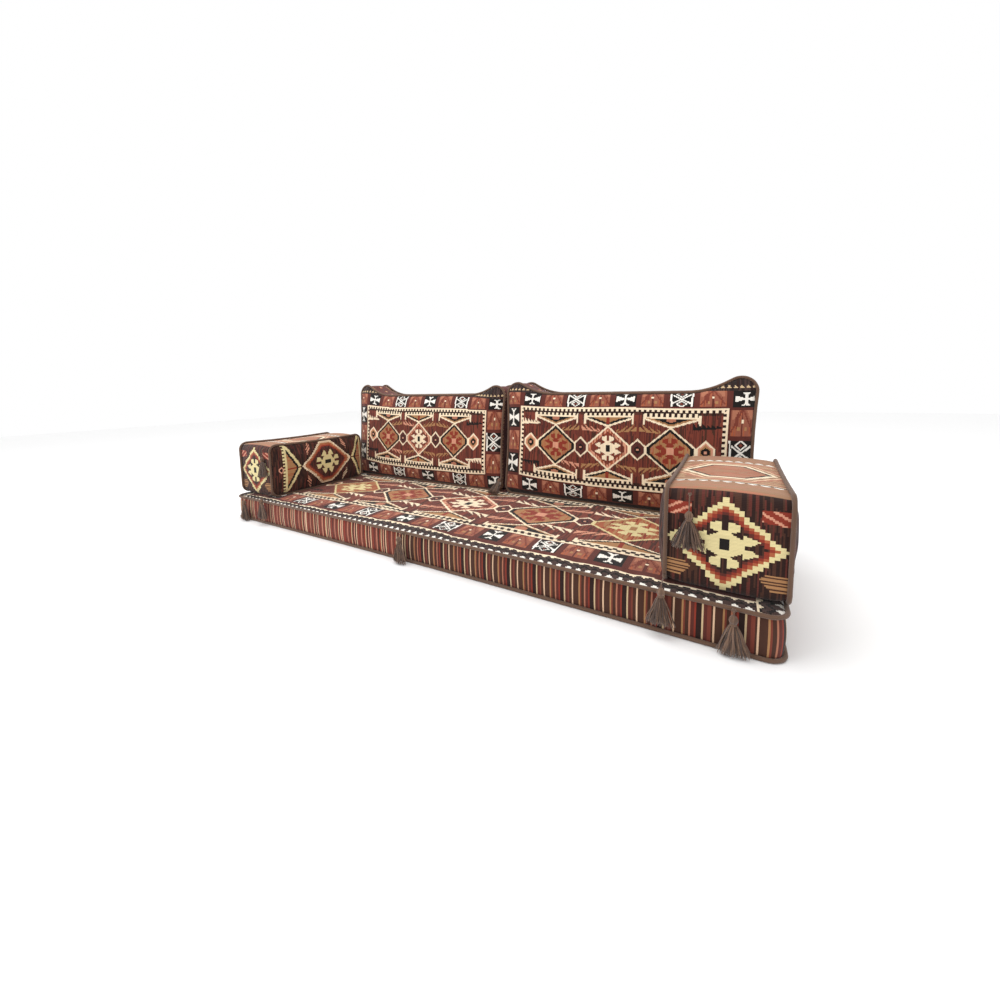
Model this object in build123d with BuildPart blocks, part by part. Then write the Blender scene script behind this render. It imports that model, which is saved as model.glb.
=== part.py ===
from build123d import *

import os
from dataclasses import dataclass
from math import cos, radians, sin, sqrt

os.makedirs("parts", exist_ok=True)

# Majlis floor sofa: a boxed seat mattress on the floor, two boxed back cushions that lean on
# its rear edge, and two boxed arm cushions that stand on its ends. Every cushion is a foam
# block in a zipped cover of two panels and a boxing strip, with a corded welt in each seam.
# +X is to the right of someone who faces the sofa, +Y to the back, +Z up from the floor.

# Cloth, welts and clearances, the same on every cushion
cloth = 2.0
cover_clearance = 0.3
welt_diameter = 9.0
welt_round = 3.0
welt_clearance = 0.25
rest_clearance = 0.3
panel_rim = 3.0

# Seat mattress, over its welts
seat_length = 2000.0
seat_depth = 700.0
seat_height = 102.0
seat_crown = 7.0
seat_reach = 90.0
seat_corner = 32.0
seat_draw = 9.0
seat_welt_floor_gap = 0.2

# Back cushions, over their welts; the top line drops between an ear at each upper corner
back_width = 895.0
back_height = 470.0
back_thickness = 140.0
back_pitch = 903.0
back_off_centre = 56.5
back_foot_depth = 140.5
back_lean = 5.45
back_crown = 28.0
back_rear_crown = 16.0
back_reach = 120.0
back_corner = 30.0
back_ear = 40.0
back_ear_run = 200.0
back_top_draw = 45.0
back_side_draw = 8.0

# Arm cushions, over their welts
arm_width = 237.0
arm_depth = 486.0
arm_height = 230.0
arm_overhang = 1.0
arm_set_back = 33.0
arm_crown = 15.0
arm_outer_crown = 9.0
arm_reach = 36.0
arm_corner = 25.0
arm_draw = 5.0

# Zips: a flat strip along the foot of a hidden panel carries the tape
zip_strip = 48.0
zip_above_foot = 27.0
zip_end_margin = 64.0
tape_width = 24.0
tape_thickness = 1.2
chain_width = 5.0
chain_height = 2.4
stop_length = 5.0
stop_height = 3.4
slider_length = 11.0
slider_width = 9.0
slider_wall = 1.4
slider_clearance = 0.4
slider_waist_share = 0.85
bail_length = 9.0
bail_rise = 4.4
bail_width = 2.0
bail_bar = 1.4
pull_length = 27.0
pull_width = 8.0
pull_thickness = 1.2
pull_window_length = 7.5
pull_window_width = 3.4
pull_pin_height = 1.7
pull_hole = 3.0
pull_end = 2.4

# Tassels: a knotted cord, a wound head, a collar and a skirt of yarn
cord_diameter = 3.0
knot_diameter = 5.0
head_diameter = 17.0
collar_diameter = 13.0
collar_height = 5.0
skirt_length = 66.0
skirt_foot_width = 54.0
skirt_foot_depth = 22.0
tassel_corner_share = 0.29

# The swell of a tassel's head and skirt: shares along it and across it
head_shares = ((0.0, 0.45), (0.25, 1.0), (0.7, 1.0))
skirt_shares = ((0.3, 0.6), (1.0, 1.0))
tassel_gap = 0.4
seat_tassel_inset = 96.0
seat_tassel_drop = 5.0
arm_tassel_inset = 51.0
arm_tassel_angle = 30.0
arm_tassel_drop = 45.0
corner_tassel_angle = 25.0
corner_tassel_over = 7.0
corner_tassel_rise = 4.0
back_tassel_rises = (54.0, 112.0)
back_tassel_tilts = (55.0, 0.0)
back_tassel_slack = 12.0
back_tassel_gap = 4.0

welt_radius = welt_diameter / 2
welt_reach = welt_diameter + welt_clearance
knot_radius = knot_diameter / 2
foot_z = seat_height + rest_clearance + welt_reach
arm_inner_x = seat_length / 2 + arm_overhang - arm_width
back_foot_y = seat_depth / 2 - back_foot_depth
up = Vector(0, 0, 1)


@dataclass
class Cushion:
    """A boxed cushion between two seams, the second one's centre `across` from the first's."""

    name: str
    first_panel: str
    second_panel: str
    strip: str
    foot_centre: Vector
    rise: Vector
    outward: Vector
    across: Vector
    width: float
    height: float
    draws: tuple
    corners: tuple
    ear_run: float
    crowns: tuple
    reach: float
    zip_strip: float
    second_welt_shift: float

    def plane(self, second):
        """The plane of a seam, facing out of the cushion, with y up the panel."""
        outward = self.outward * (-1 if second else 1)
        centre = self.foot_centre + (self.across if second else Vector(0, 0, 0))
        return Plane(origin=centre, x_dir=self.rise.cross(outward), z_dir=outward)


def drawn_line(start, end, draw):
    """One side of a seam outline, pulled in by `draw` at its middle."""
    if draw:
        SagittaArc(start, end, draw)
    else:
        Line(start, end)


def eared_top(half, top, draw, ear, run):
    """A top line with a round ear at each end, each one running down to the low middle."""
    low = draw - ear
    hollow = ((run - ear) ** 2 + low**2 - ear**2) / (2 * draw)
    ear_centre = Vector(half - ear, top - ear)
    middle = Vector(half - run, top - draw)
    meet = ear_centre + (middle + Vector(0, hollow) - ear_centre).normalized() * ear
    right_ear = TangentArc((half, top - ear), (meet.X, meet.Y), tangent=(0, 1))
    right_slope = TangentArc(right_ear @ 1, (middle.X, middle.Y), tangent=right_ear % 1)
    mirror(objects=[right_ear, right_slope], about=Plane.YZ)
    Line((middle.X, middle.Y), (-middle.X, middle.Y))


def outline_sketch(cushion, second, inset=0.0):
    """A panel's outline at its seam, taken in by `inset`, filled."""
    half, top = cushion.width / 2 - inset, cushion.height - inset
    foot_draw, side_draw, top_draw = cushion.draws
    lower, upper = (corner - inset for corner in cushion.corners)
    shoulder = top - upper if cushion.ear_run else top
    with BuildSketch(cushion.plane(second)) as outline:
        with BuildLine():
            drawn_line((-half, inset), (half, inset), foot_draw)
            drawn_line((half, inset), (half, shoulder), side_draw)
            drawn_line((-half, shoulder), (-half, inset), side_draw)
            if cushion.ear_run:
                eared_top(half, top, top_draw, upper, cushion.ear_run - inset)
            else:
                drawn_line((half, top), (-half, top), top_draw)
        make_face()
        fillet(outline.vertices().sort_by(Axis.Y)[:2], lower)
        if not cushion.ear_run:
            fillet(outline.vertices().sort_by(Axis.Y)[-2:], upper)
    return outline.sketch


def crown_profile(plane, low, high, reach, crown):
    """The height of a crowned panel along one way: a flat rim, a rise, a flat middle."""
    with BuildSketch(plane) as profile:
        with BuildLine():
            TangentArc((low + reach, crown), (low, cloth), tangent=(-1, 0))
            Line((low + reach, crown), (high - reach, crown))
            TangentArc((high - reach, crown), (high, cloth), tangent=(1, 0))
            Polyline(
                (high, cloth), (high + reach, cloth), (high + reach, -cloth),
                (low - reach, -cloth), (low - reach, cloth), (low, cloth),
            )
        make_face()
    return profile.sketch


def make_panel(cushion, second):
    """A sewn panel: cloth over the seam's outline, crowned by the wadding stitched behind."""
    crown, reach = cushion.crowns[second], cushion.reach
    face = cushion.plane(second)
    foot_draw, side_draw, top_draw = cushion.draws
    side = cushion.width / 2 - side_draw - panel_rim
    foot = cushion.zip_strip if second else foot_draw + panel_rim
    top = cushion.height - top_draw - panel_rim
    with BuildPart() as panel:
        extrude(outline_sketch(cushion, second), crown or cloth)
        if crown:
            over = Plane(origin=face.origin, x_dir=face.x_dir, z_dir=-face.y_dir)
            extrude(
                crown_profile(over, -side, side, reach, crown),
                2 * cushion.height, both=True, mode=Mode.INTERSECT,
            )
            upward = Plane(origin=face.origin, x_dir=face.y_dir, z_dir=face.x_dir)
            extrude(
                crown_profile(upward, foot, top, reach, crown),
                cushion.width, both=True, mode=Mode.INTERSECT,
            )
    return panel.part


def make_strip(cushion):
    """The boxing strip that runs round between the two seams."""
    length, way = cushion.across.length, cushion.across.normalized()
    outside = outline_sketch(cushion, False)
    inside = outline_sketch(cushion, False, cloth)
    with BuildPart() as strip:
        extrude(outside, length, dir=way)
        extrude(inside, length, dir=way, mode=Mode.SUBTRACT)
    return strip.part


def make_core(cushion):
    """The foam block inside the boxing."""
    length, way = cushion.across.length, cushion.across.normalized()
    block = outline_sketch(cushion, False, cloth + cover_clearance)
    with BuildPart() as core:
        extrude(
            block.moved(Location(way * cover_clearance)),
            length - 2 * cover_clearance,
            dir=way,
        )
    return core.part


def make_welt(cushion, second):
    """A covered cord round one seam, flat where its lip is sewn in and rounded outwards."""
    low = -welt_radius - (cushion.second_welt_shift if second else 0.0)
    way = cushion.across.normalized() * (1 if second else -1)
    outside = outline_sketch(cushion, second, -welt_reach).moved(Location(way * low))
    inside = outline_sketch(cushion, second, -welt_clearance).moved(Location(way * low))
    with BuildPart() as welt:
        extrude(outside, welt_diameter, dir=way)
        extrude(inside, welt_diameter, dir=way, mode=Mode.SUBTRACT)
        ends = welt.faces().filter_by(Axis(inside.center(), cushion.outward))
        rims = [edge for end in ends for edge in end.outer_wire().edges()]
        chamfer(rims, welt_round)
    return welt.part


def save(part, name):
    """Labels a finished piece and writes it to its own file."""
    part.label = name
    export_step(part, f"parts/{name}.step")


def make_zip_tape(plane, length):
    """Two woven tape edges, one strip here, that fill the slot left in the cover."""
    with BuildPart() as tape:
        with BuildSketch(plane):
            Rectangle(length, tape_width)
        extrude(amount=tape_thickness)
    return tape.part


def make_zip_chain(plane, length):
    """The closed row of teeth, with a stop at each end."""
    bevel = chain_height / 3
    with BuildPart() as chain:
        with BuildSketch(plane.offset(tape_thickness)):
            Rectangle(length - 2 * stop_length, chain_width)
        extrude(amount=chain_height)
        top_edges = chain.edges().filter_by(Axis(plane.origin, plane.x_dir))
        top_edges = top_edges.sort_by(Axis(plane.origin, plane.z_dir))[-2:]
        chamfer(top_edges, bevel)
        ends = GridLocations(length - 3 * stop_length, 0, 2, 1)
        with BuildSketch(plane.offset(tape_thickness)):
            with ends:
                Rectangle(stop_length, chain_width)
        extrude(amount=stop_height)
    return chain.part


def make_slider(plane):
    """A zip slider: a waisted plate over the teeth, two side walls and the bail on top."""
    half, waist = slider_length / 2, slider_width / 2 * slider_waist_share
    wide = slider_width / 2
    inner = chain_width / 2 + slider_clearance
    plate_low = tape_thickness + chain_height + slider_clearance
    plate_top = plate_low + slider_wall
    wall_foot = tape_thickness + slider_clearance
    with BuildPart() as slider:
        with BuildSketch(plane.offset(wall_foot)) as body:
            with BuildLine():
                Polyline(
                    (-half, -wide), (0, -wide), (half, -waist),
                    (half, waist), (0, wide), (-half, wide), close=True,
                )
            make_face()
        extrude(amount=plate_top - wall_foot)
        with BuildSketch(plane.offset(wall_foot)):
            Rectangle(2 * slider_length, 2 * inner)
        extrude(amount=plate_low - wall_foot, mode=Mode.SUBTRACT)
        side = Plane(origin=plane.origin, x_dir=plane.x_dir, z_dir=-plane.y_dir)
        with BuildSketch(side) as bail:
            with Locations((0, plate_top + bail_rise / 2)):
                Rectangle(bail_length, bail_rise)
            chamfer(bail.vertices().sort_by(Axis.Y)[-2:], bail_bar)
            with Locations((0, plate_top + (bail_rise - bail_bar) / 2)):
                Rectangle(
                    bail_length - 2 * bail_bar, bail_rise - bail_bar, mode=Mode.SUBTRACT
                )
        extrude(amount=bail_width / 2, both=True)
    return slider.part


def make_pull(pin):
    """The pull tab: a plate with a window that leaves a pin under the slider's bail."""
    pin_radius = pull_thickness / 2
    with BuildPart() as pull:
        with BuildSketch(pin) as tab:
            with Locations((pull_length / 2 - pin_radius, 0)):
                Rectangle(pull_length, pull_width)
            chamfer(tab.vertices().sort_by(Axis.X)[-2:], pull_end)
            with Locations((pin_radius + pull_window_length / 2, 0)):
                Rectangle(pull_window_length, pull_window_width, mode=Mode.SUBTRACT)
            with Locations((pull_length - 2 * pull_end, 0)):
                RegularPolygon(pull_hole / 2, 6, mode=Mode.SUBTRACT)
        extrude(amount=pull_thickness / 2, both=True)
    return pull.part


def tassel_levels():
    """The levels down a tassel, each with its distance from the top, width and depth."""
    skirt_from = head_diameter + collar_height
    levels = [
        (head_diameter * along_share, head_diameter * wide_share, head_diameter * wide_share)
        for along_share, wide_share in head_shares
    ]
    levels += [
        (head_diameter, collar_diameter, collar_diameter),
        (skirt_from, collar_diameter, collar_diameter),
    ]
    levels += [
        (
            skirt_from + skirt_length * along_share,
            collar_diameter + (skirt_foot_width - collar_diameter) * wide_share,
            collar_diameter + (skirt_foot_depth - collar_diameter) * wide_share,
        )
        for along_share, wide_share in skirt_shares
    ]
    return levels


def make_tassel(knot, head_top, over=None, tilt=0.0):
    """A tassel: a knot at the cloth, its cord, a wound head, a collar and a skirt of yarn."""
    across = Vector(1, 0, 0)
    fall = Vector(0, -sin(radians(tilt)), -cos(radians(tilt)))
    levels = tassel_levels()
    slants = [
        (width + depth * (1 - 2 * tassel_corner_share)) / sqrt(2) for _, width, depth in levels
    ]
    silhouettes = (
        (0, [width for _, width, _ in levels]),
        (90, [depth for _, _, depth in levels]),
        (45, slants),
        (-45, slants),
    )
    with BuildPart() as yarn:
        for turn, breadths in silhouettes:
            right = [(breadth / 2, level[0]) for breadth, level in zip(breadths, levels)]
            left = [(-half, along) for half, along in reversed(right)]
            facing = across * cos(radians(turn)) + across.cross(fall) * sin(radians(turn))
            with BuildSketch(Plane(origin=head_top, x_dir=facing, z_dir=facing.cross(fall))):
                Polygon(right + left, align=None)
            extrude(
                amount=skirt_foot_width, both=True, mode=Mode.INTERSECT if turn else Mode.ADD
            )

    inside_head = head_top + fall * head_diameter / 2
    with BuildLine():
        if over is None:
            route = Line(knot, inside_head)
        else:
            route = Polyline(knot, over, inside_head)
    with BuildPart() as tassel:
        add(yarn)
        with BuildSketch(Plane(origin=route @ 0, z_dir=route % 0)):
            RegularPolygon(cord_diameter / 2, 6)
        sweep(path=route, transition=Transition.RIGHT)
        with BuildSketch(Plane(origin=knot, x_dir=(0, 1, 0), z_dir=across)):
            RegularPolygon(knot_radius, 8)
        extrude(amount=knot_radius, both=True)
    return tassel.part


# The five cushions
seat_outline_depth = seat_depth - 2 * welt_reach
seat = Cushion(
    name="seat",
    first_panel="top_panel",
    second_panel="bottom_panel",
    strip="boxing",
    foot_centre=Vector(0, -seat_outline_depth / 2, seat_height - seat_crown),
    rise=Vector(0, 1, 0),
    outward=up,
    across=Vector(0, 0, cloth + seat_crown - seat_height),
    width=seat_length - 2 * welt_reach,
    height=seat_outline_depth,
    draws=(seat_draw, 0.0, 0.0),
    corners=(seat_corner, seat_corner),
    ear_run=0.0,
    crowns=(seat_crown, 0.0),
    reach=seat_reach,
    zip_strip=panel_rim,
    second_welt_shift=welt_radius - cloth + seat_welt_floor_gap,
)

lean = radians(back_lean)
backs = [
    Cushion(
        name=f"{side}_back",
        first_panel="front_panel",
        second_panel="rear_panel",
        strip="boxing",
        foot_centre=Vector(
            back_off_centre + way * back_pitch / 2, back_foot_y + welt_radius, foot_z
        ),
        rise=Vector(0, sin(lean), cos(lean)),
        outward=Vector(0, -cos(lean), sin(lean)),
        across=Vector(0, back_thickness - welt_diameter, 0),
        width=back_width - 2 * welt_reach,
        height=back_height - 2 * welt_reach,
        draws=(0.0, back_side_draw, back_top_draw),
        corners=(back_corner, back_ear),
        ear_run=back_ear_run,
        crowns=(back_crown, back_rear_crown),
        reach=back_reach,
        zip_strip=zip_strip,
        second_welt_shift=0.0,
    )
    for side, way in (("left", -1), ("right", 1))
]

arm_front = -seat_depth / 2 + arm_set_back
arms = [
    Cushion(
        name=f"{side}_arm",
        first_panel="inner_panel",
        second_panel="outer_panel",
        strip="wrap",
        foot_centre=Vector(way * (arm_inner_x + welt_radius), arm_front + arm_depth / 2, foot_z),
        rise=up,
        outward=Vector(-way, 0, 0),
        across=Vector(way * (arm_width - welt_diameter), 0, 0),
        width=arm_depth - 2 * welt_reach,
        height=arm_height - 2 * welt_reach,
        draws=(0.0, 0.0, arm_draw),
        corners=(arm_corner, arm_corner),
        ear_run=0.0,
        crowns=(arm_crown, arm_outer_crown),
        reach=arm_reach,
        zip_strip=zip_strip,
        second_welt_shift=0.0,
    )
    for side, way in (("left", -1), ("right", 1))
]


# Zips: the seat's runs along its rear boxing, the others along a hidden panel's foot
seat_rear = seat.foot_centre.Y + seat.height - cloth
zips = {
    "seat": (
        Plane(
            origin=Vector(0, seat_rear, seat.foot_centre.Z + seat.across.Z / 2),
            x_dir=(-1, 0, 0),
            z_dir=(0, 1, 0),
        ),
        seat.width - 2 * zip_end_margin,
    )
}
for cushion in backs + arms:
    foot = cushion.plane(True)
    zips[cushion.name] = (
        Plane(origin=foot.origin + foot.y_dir * zip_above_foot, x_dir=foot.x_dir, z_dir=foot.z_dir),
        cushion.width - 2 * zip_end_margin,
    )


def open_slot(part, plane, length):
    """Cuts the slot that a zip's tape fills out of the cloth."""
    with BuildPart() as slotted:
        add(part)
        with BuildSketch(plane):
            Rectangle(length, tape_width)
        extrude(amount=cloth, mode=Mode.SUBTRACT)
    return slotted.part


for cushion in [seat] + backs + arms:
    zip_plane, zip_length = zips[cushion.name]
    first = make_panel(cushion, False)
    second = make_panel(cushion, True)
    strip = make_strip(cushion)
    if cushion is seat:
        strip = open_slot(strip, zip_plane, zip_length)
    else:
        second = open_slot(second, zip_plane, zip_length)
    first_word = cushion.first_panel.split("_")[0]
    second_word = cushion.second_panel.split("_")[0]
    save(make_core(cushion), f"{cushion.name}_core")
    save(first, f"{cushion.name}_{cushion.first_panel}")
    save(second, f"{cushion.name}_{cushion.second_panel}")
    save(strip, f"{cushion.name}_{cushion.strip}")
    save(make_welt(cushion, False), f"{cushion.name}_{first_word}_welt")
    save(make_welt(cushion, True), f"{cushion.name}_{second_word}_welt")

    slider_at = zip_length / 2 - 2 * stop_length - slider_length / 2 - slider_clearance
    slider_plane = Plane(
        origin=zip_plane.from_local_coords(Vector(slider_at, 0, 0)),
        x_dir=zip_plane.x_dir,
        z_dir=zip_plane.z_dir,
    )
    pin_height = tape_thickness + chain_height + slider_clearance + slider_wall + pull_pin_height
    pin_at = slider_plane.origin + slider_plane.z_dir * pin_height
    flat_out = Vector(zip_plane.z_dir.X, zip_plane.z_dir.Y, 0).normalized()
    pin_plane = Plane(origin=pin_at, x_dir=zip_plane.x_dir, z_dir=flat_out)
    save(make_zip_tape(zip_plane, zip_length), f"{cushion.name}_zip_tape")
    save(make_zip_chain(zip_plane, zip_length), f"{cushion.name}_zip_chain")
    save(make_slider(slider_plane), f"{cushion.name}_zip_slider")
    save(make_pull(pin_plane), f"{cushion.name}_zip_pull")
    travel = zip_length - 4 * stop_length - slider_length - 2 * slider_clearance
    print(cushion.name, "zip: pin", pin_at, "along", zip_plane.x_dir, "travel", travel)


# Tassels on the seat's front welt, with the front edge's draw at each one
tassels = {}
hang_y = -seat_depth / 2 - tassel_gap - skirt_foot_depth / 2
end_tassel_x = seat_length / 2 - seat_tassel_inset
for name, x in (("left", -end_tassel_x), ("middle", 0.0), ("right", end_tassel_x)):
    drawn = seat_draw * (1 - (2 * x / seat.width) ** 2)
    knot = Vector(
        x,
        -seat_depth / 2 + drawn - tassel_gap - knot_radius,
        seat.foot_centre.Z,
    )
    head_top = Vector(x, hang_y, seat.foot_centre.Z - seat_tassel_drop)
    tassels[f"seat_{name}_tassel"] = (knot, head_top, None, 0.0)

# Tassels on the arms: one sewn to the front's upper fold, one at the inner lower corner
fold = arm_front + welt_reach + arm_corner
for cushion, way in zip(arms, (-1, 1)):
    angle = radians(arm_tassel_angle)
    round_top = foot_z + cushion.height - arm_corner
    stand_off = arm_corner + tassel_gap + knot_radius
    x = way * (arm_inner_x + arm_tassel_inset)
    knot = Vector(x, fold - stand_off * cos(angle), round_top + stand_off * sin(angle))
    head_y = arm_front + welt_reach - tassel_gap - skirt_foot_depth / 2
    head_top = Vector(x, head_y, foot_z + cushion.height - arm_tassel_drop)
    tassels[f"{cushion.name}_front_tassel"] = (knot, head_top, None, 0.0)

    angle = radians(corner_tassel_angle)
    stand_off = arm_corner + welt_reach + tassel_gap + knot_radius
    x = way * (arm_inner_x + welt_radius)
    round_low = foot_z + arm_corner
    knot = Vector(x, fold - stand_off * cos(angle), round_low - stand_off * sin(angle))
    over = Vector(x, hang_y + corner_tassel_rise, knot.Z - corner_tassel_rise / 2)
    head_top = Vector(x, hang_y, knot.Z - corner_tassel_over)
    tassels[f"{cushion.name}_corner_tassel"] = (knot, head_top, over, 0.0)

# Tassels at the right lower corner of each back cushion: the left one lies forward on the
# seat, and the right one hangs straight down between its cushion and the arm
hang_y = back_foot_y - back_tassel_gap - skirt_foot_depth / 2
for cushion, rise, tilt in zip(backs, back_tassel_rises, back_tassel_tilts):
    front = cushion.plane(False)
    share = rise / cushion.height
    drawn = 4 * back_side_draw * share * (1 - share)
    side = cushion.width / 2 + welt_clearance + welt_radius - drawn
    ahead = welt_radius + tassel_gap + knot_radius
    knot = front.from_local_coords(Vector(side, rise, ahead))
    if tilt:
        fall = Vector(0, -sin(radians(tilt)), -cos(radians(tilt)))
        head_top = knot + fall * knot_diameter
    else:
        head_top = Vector(knot.X, hang_y, knot.Z - back_tassel_slack)
    tassels[f"{cushion.name}_tassel"] = (knot, head_top, None, tilt)

for name, (knot, head_top, over, tilt) in tassels.items():
    save(make_tassel(knot, head_top, over, tilt), name)
    print(name, "hangs from", knot)
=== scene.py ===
from math import cos, pi, radians, sin, sqrt

import bpy
import numpy as np
from mathutils import Matrix, Vector


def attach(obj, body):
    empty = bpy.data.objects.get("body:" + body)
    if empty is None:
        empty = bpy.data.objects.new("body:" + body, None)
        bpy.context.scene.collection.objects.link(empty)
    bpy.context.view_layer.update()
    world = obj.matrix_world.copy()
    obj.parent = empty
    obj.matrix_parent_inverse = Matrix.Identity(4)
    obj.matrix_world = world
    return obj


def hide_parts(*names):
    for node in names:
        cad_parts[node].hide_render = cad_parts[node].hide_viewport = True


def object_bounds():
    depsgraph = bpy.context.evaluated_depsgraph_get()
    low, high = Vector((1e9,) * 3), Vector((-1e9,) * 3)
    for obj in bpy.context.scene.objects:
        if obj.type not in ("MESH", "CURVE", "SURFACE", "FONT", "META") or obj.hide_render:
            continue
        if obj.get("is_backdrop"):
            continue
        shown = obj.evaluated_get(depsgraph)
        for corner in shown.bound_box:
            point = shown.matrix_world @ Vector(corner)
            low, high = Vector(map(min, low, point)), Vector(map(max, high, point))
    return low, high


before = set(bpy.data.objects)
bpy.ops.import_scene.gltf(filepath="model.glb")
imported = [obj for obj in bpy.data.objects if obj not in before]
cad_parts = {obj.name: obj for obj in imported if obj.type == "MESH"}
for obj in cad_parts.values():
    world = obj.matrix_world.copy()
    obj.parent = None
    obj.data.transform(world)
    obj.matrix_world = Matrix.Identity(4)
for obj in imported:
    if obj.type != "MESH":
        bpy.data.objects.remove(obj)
bpy.ops.object.select_all(action="DESELECT")
cad_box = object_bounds()
scene = bpy.context.scene

# Camera: low, close and wide, to the right of the sofa's middle, looking left along it.
camera = bpy.data.objects.new("camera", bpy.data.cameras.new("camera"))
scene.collection.objects.link(camera)
turn, tip, roll = 0.5451, 0.1045, -0.0204
ahead = Vector((-sin(turn) * cos(tip), cos(turn) * cos(tip), -sin(tip)))
aside = Vector((cos(turn), sin(turn), 0.0))
above = aside.cross(ahead)
view_x = aside * cos(roll) + above * sin(roll)
view_y = above * cos(roll) - aside * sin(roll)
place = Matrix.Translation((0.8893, -1.2520, 0.5481))
camera.matrix_world = place @ Matrix((view_x, view_y, -ahead)).transposed().to_4x4()
camera.data.sensor_width = 36.0
camera.data.lens = 14.455
camera.data.shift_x, camera.data.shift_y = 0.00885, -0.0696
camera.data.clip_start = 0.01
scene.camera = camera

# Studio: a plain pale floor, a bright soft sky, one large soft light overhead and one weaker
# one in front on the left.
scene.view_settings.view_transform = "Standard"


def feed(tree, node, inputs):
    """Sets a node's sockets to values, or joins them to other nodes' sockets."""
    for key, value in inputs.items():
        if isinstance(value, bpy.types.NodeSocket):
            tree.links.new(value, node.inputs[key])
        else:
            node.inputs[key].default_value = value


def add_node(tree, kind, inputs=(), **settings):
    """Adds a shader node with its own settings and feeds its sockets."""
    node = tree.nodes.new(f"ShaderNode{kind}")
    for key, value in settings.items():
        setattr(node, key, value)
    feed(tree, node, dict(inputs))
    return node


def new_material(name):
    material = bpy.data.materials.new(name)
    material.use_nodes = True
    return material, material.node_tree, material.node_tree.nodes["Principled BSDF"]


bpy.ops.mesh.primitive_plane_add(size=16.0)
floor = bpy.context.object
floor.name = "studio_floor"
floor_paint, floor_tree, floor_shader = new_material("studio_floor")
feed(floor_tree, floor_shader, {"Base Color": (0.95, 0.95, 0.95, 1.0), "Roughness": 0.9})
floor.data.materials.append(floor_paint)
floor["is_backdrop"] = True
sky = bpy.data.worlds.new("studio_sky")
sky.use_nodes = True
white_light = {"Color": (1.0, 1.0, 1.0, 1.0), "Strength": 1.0}
feed(sky.node_tree, sky.node_tree.nodes["Background"], white_light)
scene.world = sky
for name, spot, size, power in (
    ("top_light", (-0.3, -0.2, 3.4), 3.0, 60.0),
    ("front_light", (-2.2, -2.8, 2.2), 2.0, 25.0),
):
    lamp = bpy.data.objects.new(name, bpy.data.lights.new(name, "AREA"))
    lamp.data.size, lamp.data.energy = size, power
    lamp.location = spot
    aim = Vector((0.1, 0.1, 0.2)) - Vector(spot)
    lamp.rotation_euler = aim.to_track_quat("-Z", "Y").to_euler()
    scene.collection.objects.link(lamp)


# The seat mattress: foam in a boxed cover of flat-woven kilim, with a corded welt in the top
# and the bottom seam. The top panel is one kilim, the boxing is striped, and the lining below
# is plain cotton. Lengths are in metres; patterns are drawn in millimetres.
# Of each cushion: crown is how high its stuffing rises inside the seams, reach how far in that
# takes, draw how far a seam is drawn in, knot one woven quad and cell one of the coarse sheet
# that fills out.
seat_length, seat_depth, seat_height = 2.0, 0.7, 0.102
seat_crown, seat_reach, seat_corner, seat_draw = 0.007, 0.09, 0.032, 0.009
seat_knot, seat_cell, lining_knot = 0.004, 0.02, 0.02
welt_size, welt_gap, welt_lift = 0.009, 0.00025, 0.0027
seam_in = welt_size + welt_gap
cloth, hem = 0.002, 0.0045
zip_margin, zip_bed = 0.064, 0.012  # cover left at a zip's ends, and beside its middle


def evenly(points, step):
    """A closed line resampled at even steps."""
    ring = np.vstack([points, points[:1]])
    run = np.r_[0.0, np.cumsum(np.linalg.norm(np.diff(ring, axis=0), axis=1))]
    at = np.linspace(0.0, run[-1], int(round(run[-1] / step)) + 1)[:-1]
    return np.stack([np.interp(at, run, ring[:, i]) for i in (0, 1)], axis=1)


def arc(centre, radius, start, end, count=24):
    turns = np.linspace(start, end, count)
    return np.stack([centre[0] + radius * np.cos(turns), centre[1] + radius * np.sin(turns)], 1)


def seam_line(width, height, draws, corners, ear_run=0.0):
    """The seam round a panel, anticlockwise from the middle of its foot: x across, y up."""
    half, (foot_draw, side_draw, top_draw), (low, high) = width / 2, draws, corners
    shoulder = height - high if ear_run else height

    def foot(x):
        return foot_draw * (1 - (x / half) ** 2)

    def side(y):
        return half - side_draw * (1 - (2 * y / shoulder - 1) ** 2)

    def top(x):
        return height - top_draw * (1 - (x / half) ** 2)

    x0 = side(low) - low
    y0 = foot(x0) + low
    xs = np.linspace(0.0, x0, 200)
    parts = [np.stack([xs, foot(xs)], 1), arc((side(y0) - low, y0), low, -pi / 2, 0.0)]
    if ear_run:
        ys = np.linspace(y0, shoulder, 100)
        parts.append(np.stack([side(ys), ys], 1))
        ear = Vector((half - high, height - high))
        hollow = ((ear_run - high) ** 2 + (top_draw - high) ** 2 - high**2) / (2 * top_draw)
        bowl = Vector((half - ear_run, height - top_draw + hollow))
        lean_out = bowl - ear
        meet = np.arctan2(lean_out.y, lean_out.x)
        parts.append(arc(ear, high, 0.0, meet, 40))
        parts.append(arc(bowl, hollow, meet - pi, -pi / 2, 60))
    else:
        y1 = top(side(height - high) - high) - high
        ys = np.linspace(y0, y1, 100)
        parts.append(np.stack([side(ys), ys], 1))
        x1 = side(y1) - high
        parts.append(arc((x1, y1), high, 0.0, pi / 2))
        xs = np.linspace(x1, 0.0, 200)
        parts.append(np.stack([xs, top(xs)], 1))
    right = np.vstack(parts)
    return evenly(np.vstack([right, right[::-1][1:] * (-1, 1)]), 0.001)


def beside(line, distance):
    """The line moved outwards along its own normals."""
    along = np.roll(line, -1, axis=0) - np.roll(line, 1, axis=0)
    along /= np.linalg.norm(along, axis=1)[:, None]
    return line + distance * np.stack([along[:, 1], -along[:, 0]], 1)


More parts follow.
